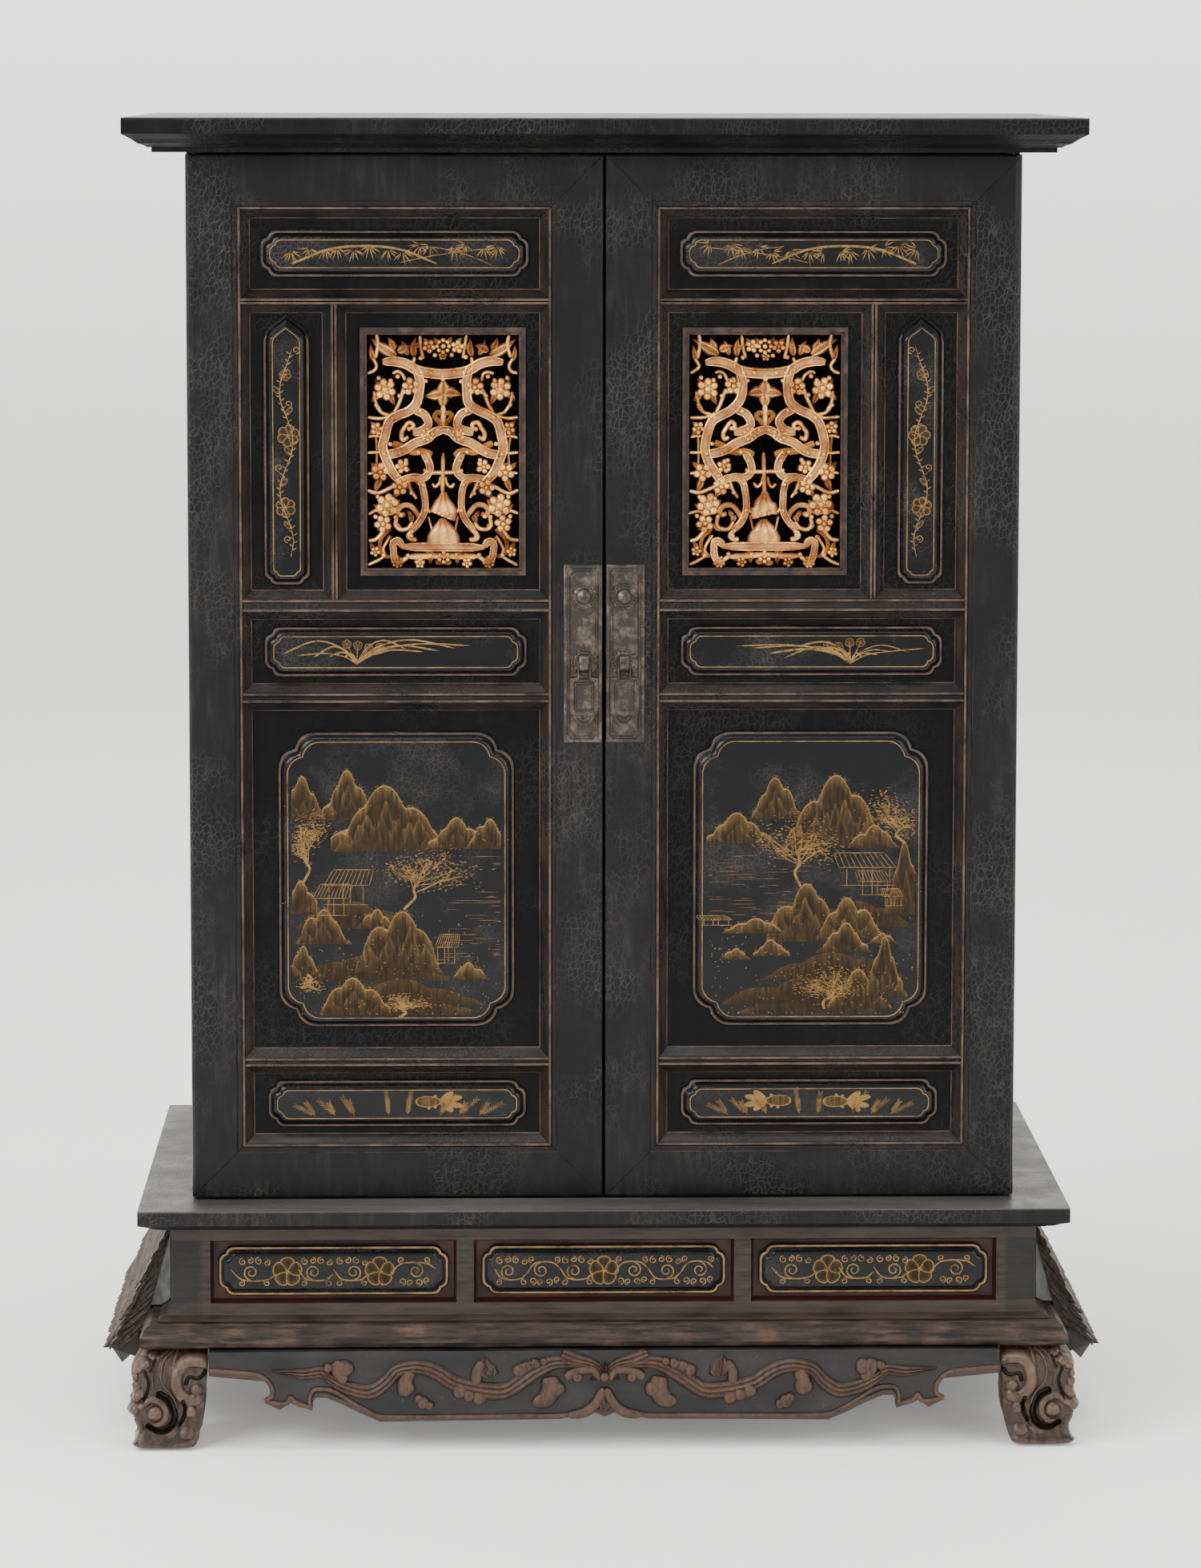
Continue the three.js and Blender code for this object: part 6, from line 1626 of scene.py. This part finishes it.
class SHRINE_OT_wings(bpy.types.Operator):
    """Carved wings on both ends of the stand"""
    bl_idname = "shrine.wings"
    bl_label = "Carved wings"

    def execute(self, context):
        per_course = context.scene.shrine_sizes.feathers
        smooth = carved_wood("greyed smooth wood of the wings", "#575955", "#747671", "#3b3937", 0.005)
        grey = carved_wood("greyed carved wood of the wings", "#5c524c", "#8a7f78", "#1b1613", 0.003)
        for name, (side, seed) in WINGS.items():
            make_piece(f"wing_board_{name}", [wing_core(side)], smooth,
                       replaces=(f"wing_{name}",))
            make_piece(f"wing_strands_{name}", wing_shells(side, per_course, np.random.default_rng(seed)),
                       grey, crease=60)
        return {"FINISHED"}


# Studio

# Focal length and drop of the image's middle, in pixels of a photograph 1500 x 1958; the camera's place
# is in metres and its turns are in degrees
PHOTO_HEIGHT = 1958
CAMERA_FOCAL = 6300.0
CAMERA_DROP = 235.0
CAMERA_PLACE = (-0.0977, -4.2721, 1.1288)
CAMERA_YAW = -1.323
CAMERA_PITCH = 5.96
CAMERA_ROLL = 0.058
BOWL_SIDES = 64

# Name, place, aim, size and power of each soft light
STUDIO_LIGHTS = (
    ("key", (-2.2, -2.6, 2.7), (0, 0, 0.6), (1.8, 2.2), 95.0),
    ("fill", (2.6, -2.8, 1.6), (0, 0, 0.5), (2.0, 2.4), 50.0),
    ("accent", (-2.5, -1.3, 2.3), (0, -0.2, 0.7), (0.5, 1.4), 40.0),
    ("top", (0.0, -0.5, 3.2), (0, 0, 0.5), (2.6, 1.2), 95.0),
    ("back", (0.0, 3.4, 3.0), (0, 1.2, 0.0), (4.0, 2.0), 60.0),
)


def looking(place, aim):
    """Matrix of a light at `place` that shines along -Z at `aim`."""
    back = np.subtract(place, aim)
    back /= np.linalg.norm(back)
    right = np.cross((0, 0, 1), back)
    right /= np.linalg.norm(right)
    rows = np.eye(4)
    rows[:3, 0], rows[:3, 1], rows[:3, 2], rows[:3, 3] = right, np.cross(back, right), back, place
    return Matrix(rows.tolist())


def studio_bowl(finish):
    """Seamless surround: a profile that runs flat, then up a quarter circle and a wall, turned about Z."""
    bend = np.linspace(0, math.pi / 2, 9)
    reach = np.concatenate([[0.02, 1.5, 3.5], 5.5 + 3.5 * np.sin(bend), [9.0]])
    high = np.concatenate([[0, 0, 0], 3.5 * (1 - np.cos(bend)), [9.0]])
    angle = circle(BOWL_SIDES)
    x, y = np.outer(reach, np.cos(angle)), np.outer(reach, np.sin(angle))
    vertices = np.stack([x, y, np.broadcast_to(high[:, None], x.shape)], axis=-1).reshape(-1, 3)
    faces = [*grid_faces(len(reach), BOWL_SIDES)[:, ::-1].tolist(), list(range(BOWL_SIDES))]
    mesh = bpy.data.meshes.new("studio bowl")
    mesh.from_pydata(vertices.tolist(), [], faces)
    mesh.materials.append(finish)
    bowl = bpy.data.objects.new("studio bowl", mesh)
    bpy.context.scene.collection.objects.link(bowl)
    return bowl


class SHRINE_OT_studio(bpy.types.Operator):
    """Pale floor, backdrop, soft lights and the camera at the photograph's viewing angle"""
    bl_idname = "shrine.studio"
    bl_label = "Studio"

    def execute(self, context):
        scene = context.scene
        material, add, place, _, _ = start_finish("pale studio paper")
        # The studio paper glows as painted light: its emission, weakest at the floor and towards the front,
        # brightens the backdrop and lights the shrine.
        backdrop_glow = add("times", add("ramp", add("z of", place), 0.0, 1.2, 0.2, 1.0),
                   add("ramp", add("y of", place), -9.0, 1.0, 0.3, 1.0))
        pale = end_finish(material, {
            "Base Color": "floor", "Roughness": 0.9, "Specular IOR Level": 0.1,
            "Emission Color": "#ffffff", "Emission Strength": backdrop_glow})
        studio_bowl(pale)
        for name, place, aim, size, energy in STUDIO_LIGHTS:
            area = bpy.data.lights.new(name, "AREA")
            area.shape = "RECTANGLE"
            area.size, area.size_y = size
            area.energy = energy
            lamp = bpy.data.objects.new(name, area)
            lamp.matrix_world = looking(place, aim)
            scene.collection.objects.link(lamp)
        world = bpy.data.worlds.new("studio air")
        world.use_nodes = True
        air = world.node_tree.nodes["Background"]
        air.inputs["Color"].default_value = linear("#f4f6f8")
        air.inputs["Strength"].default_value = 0.25
        scene.world = world
        camera = bpy.data.cameras.new("camera")
        camera.sensor_width = 36
        camera.lens = CAMERA_FOCAL / PHOTO_HEIGHT * camera.sensor_width
        camera.shift_y = -CAMERA_DROP / PHOTO_HEIGHT
        camera.clip_end = 60
        holder = bpy.data.objects.new("camera", camera)
        holder.matrix_world = (Matrix.Translation(CAMERA_PLACE)
                               @ Matrix.Rotation(math.radians(CAMERA_YAW), 4, "Z")
                               @ Matrix.Rotation(math.radians(90 - CAMERA_PITCH), 4, "X")
                               @ Matrix.Rotation(math.radians(CAMERA_ROLL), 4, "Z"))
        scene.collection.objects.link(holder)
        scene.camera = holder
        return {"FINISHED"}


class SHRINE_PT_panel(bpy.types.Panel):
    """Sizes, colours and pieces of the shrine"""
    bl_idname = "SHRINE_PT_panel"
    bl_label = "Shrine"
    bl_space_type = "VIEW_3D"
    bl_region_type = "UI"
    bl_category = "Shrine"

    def draw(self, context):
        layout = self.layout
        for group in (context.scene.shrine_sizes, context.scene.shrine_colours):
            column = layout.column()
            for name in group.__annotations__:
                column.prop(group, name)
        for operator in OPERATORS:
            layout.operator(operator.bl_idname)


OPERATORS = (SHRINE_OT_joinery, SHRINE_OT_cartouches, SHRINE_OT_painting, SHRINE_OT_openwork,
             SHRINE_OT_fittings, SHRINE_OT_apron, SHRINE_OT_feet, SHRINE_OT_wings, SHRINE_OT_studio)
CLASSES = (ShrineColours, ShrineSizes, *OPERATORS, SHRINE_PT_panel)


def register():
    for cls in CLASSES:
        bpy.utils.register_class(cls)
    bpy.types.Scene.shrine_colours = PointerProperty(type=ShrineColours)
    bpy.types.Scene.shrine_sizes = PointerProperty(type=ShrineSizes)


def unregister():
    del bpy.types.Scene.shrine_sizes
    del bpy.types.Scene.shrine_colours
    for cls in reversed(CLASSES):
        bpy.utils.unregister_class(cls)


def main():
    register()
    for operator in OPERATORS:
        group, name = operator.bl_idname.split(".")
        getattr(getattr(bpy.ops, group), name)()


if __name__ == "__main__":
    main()
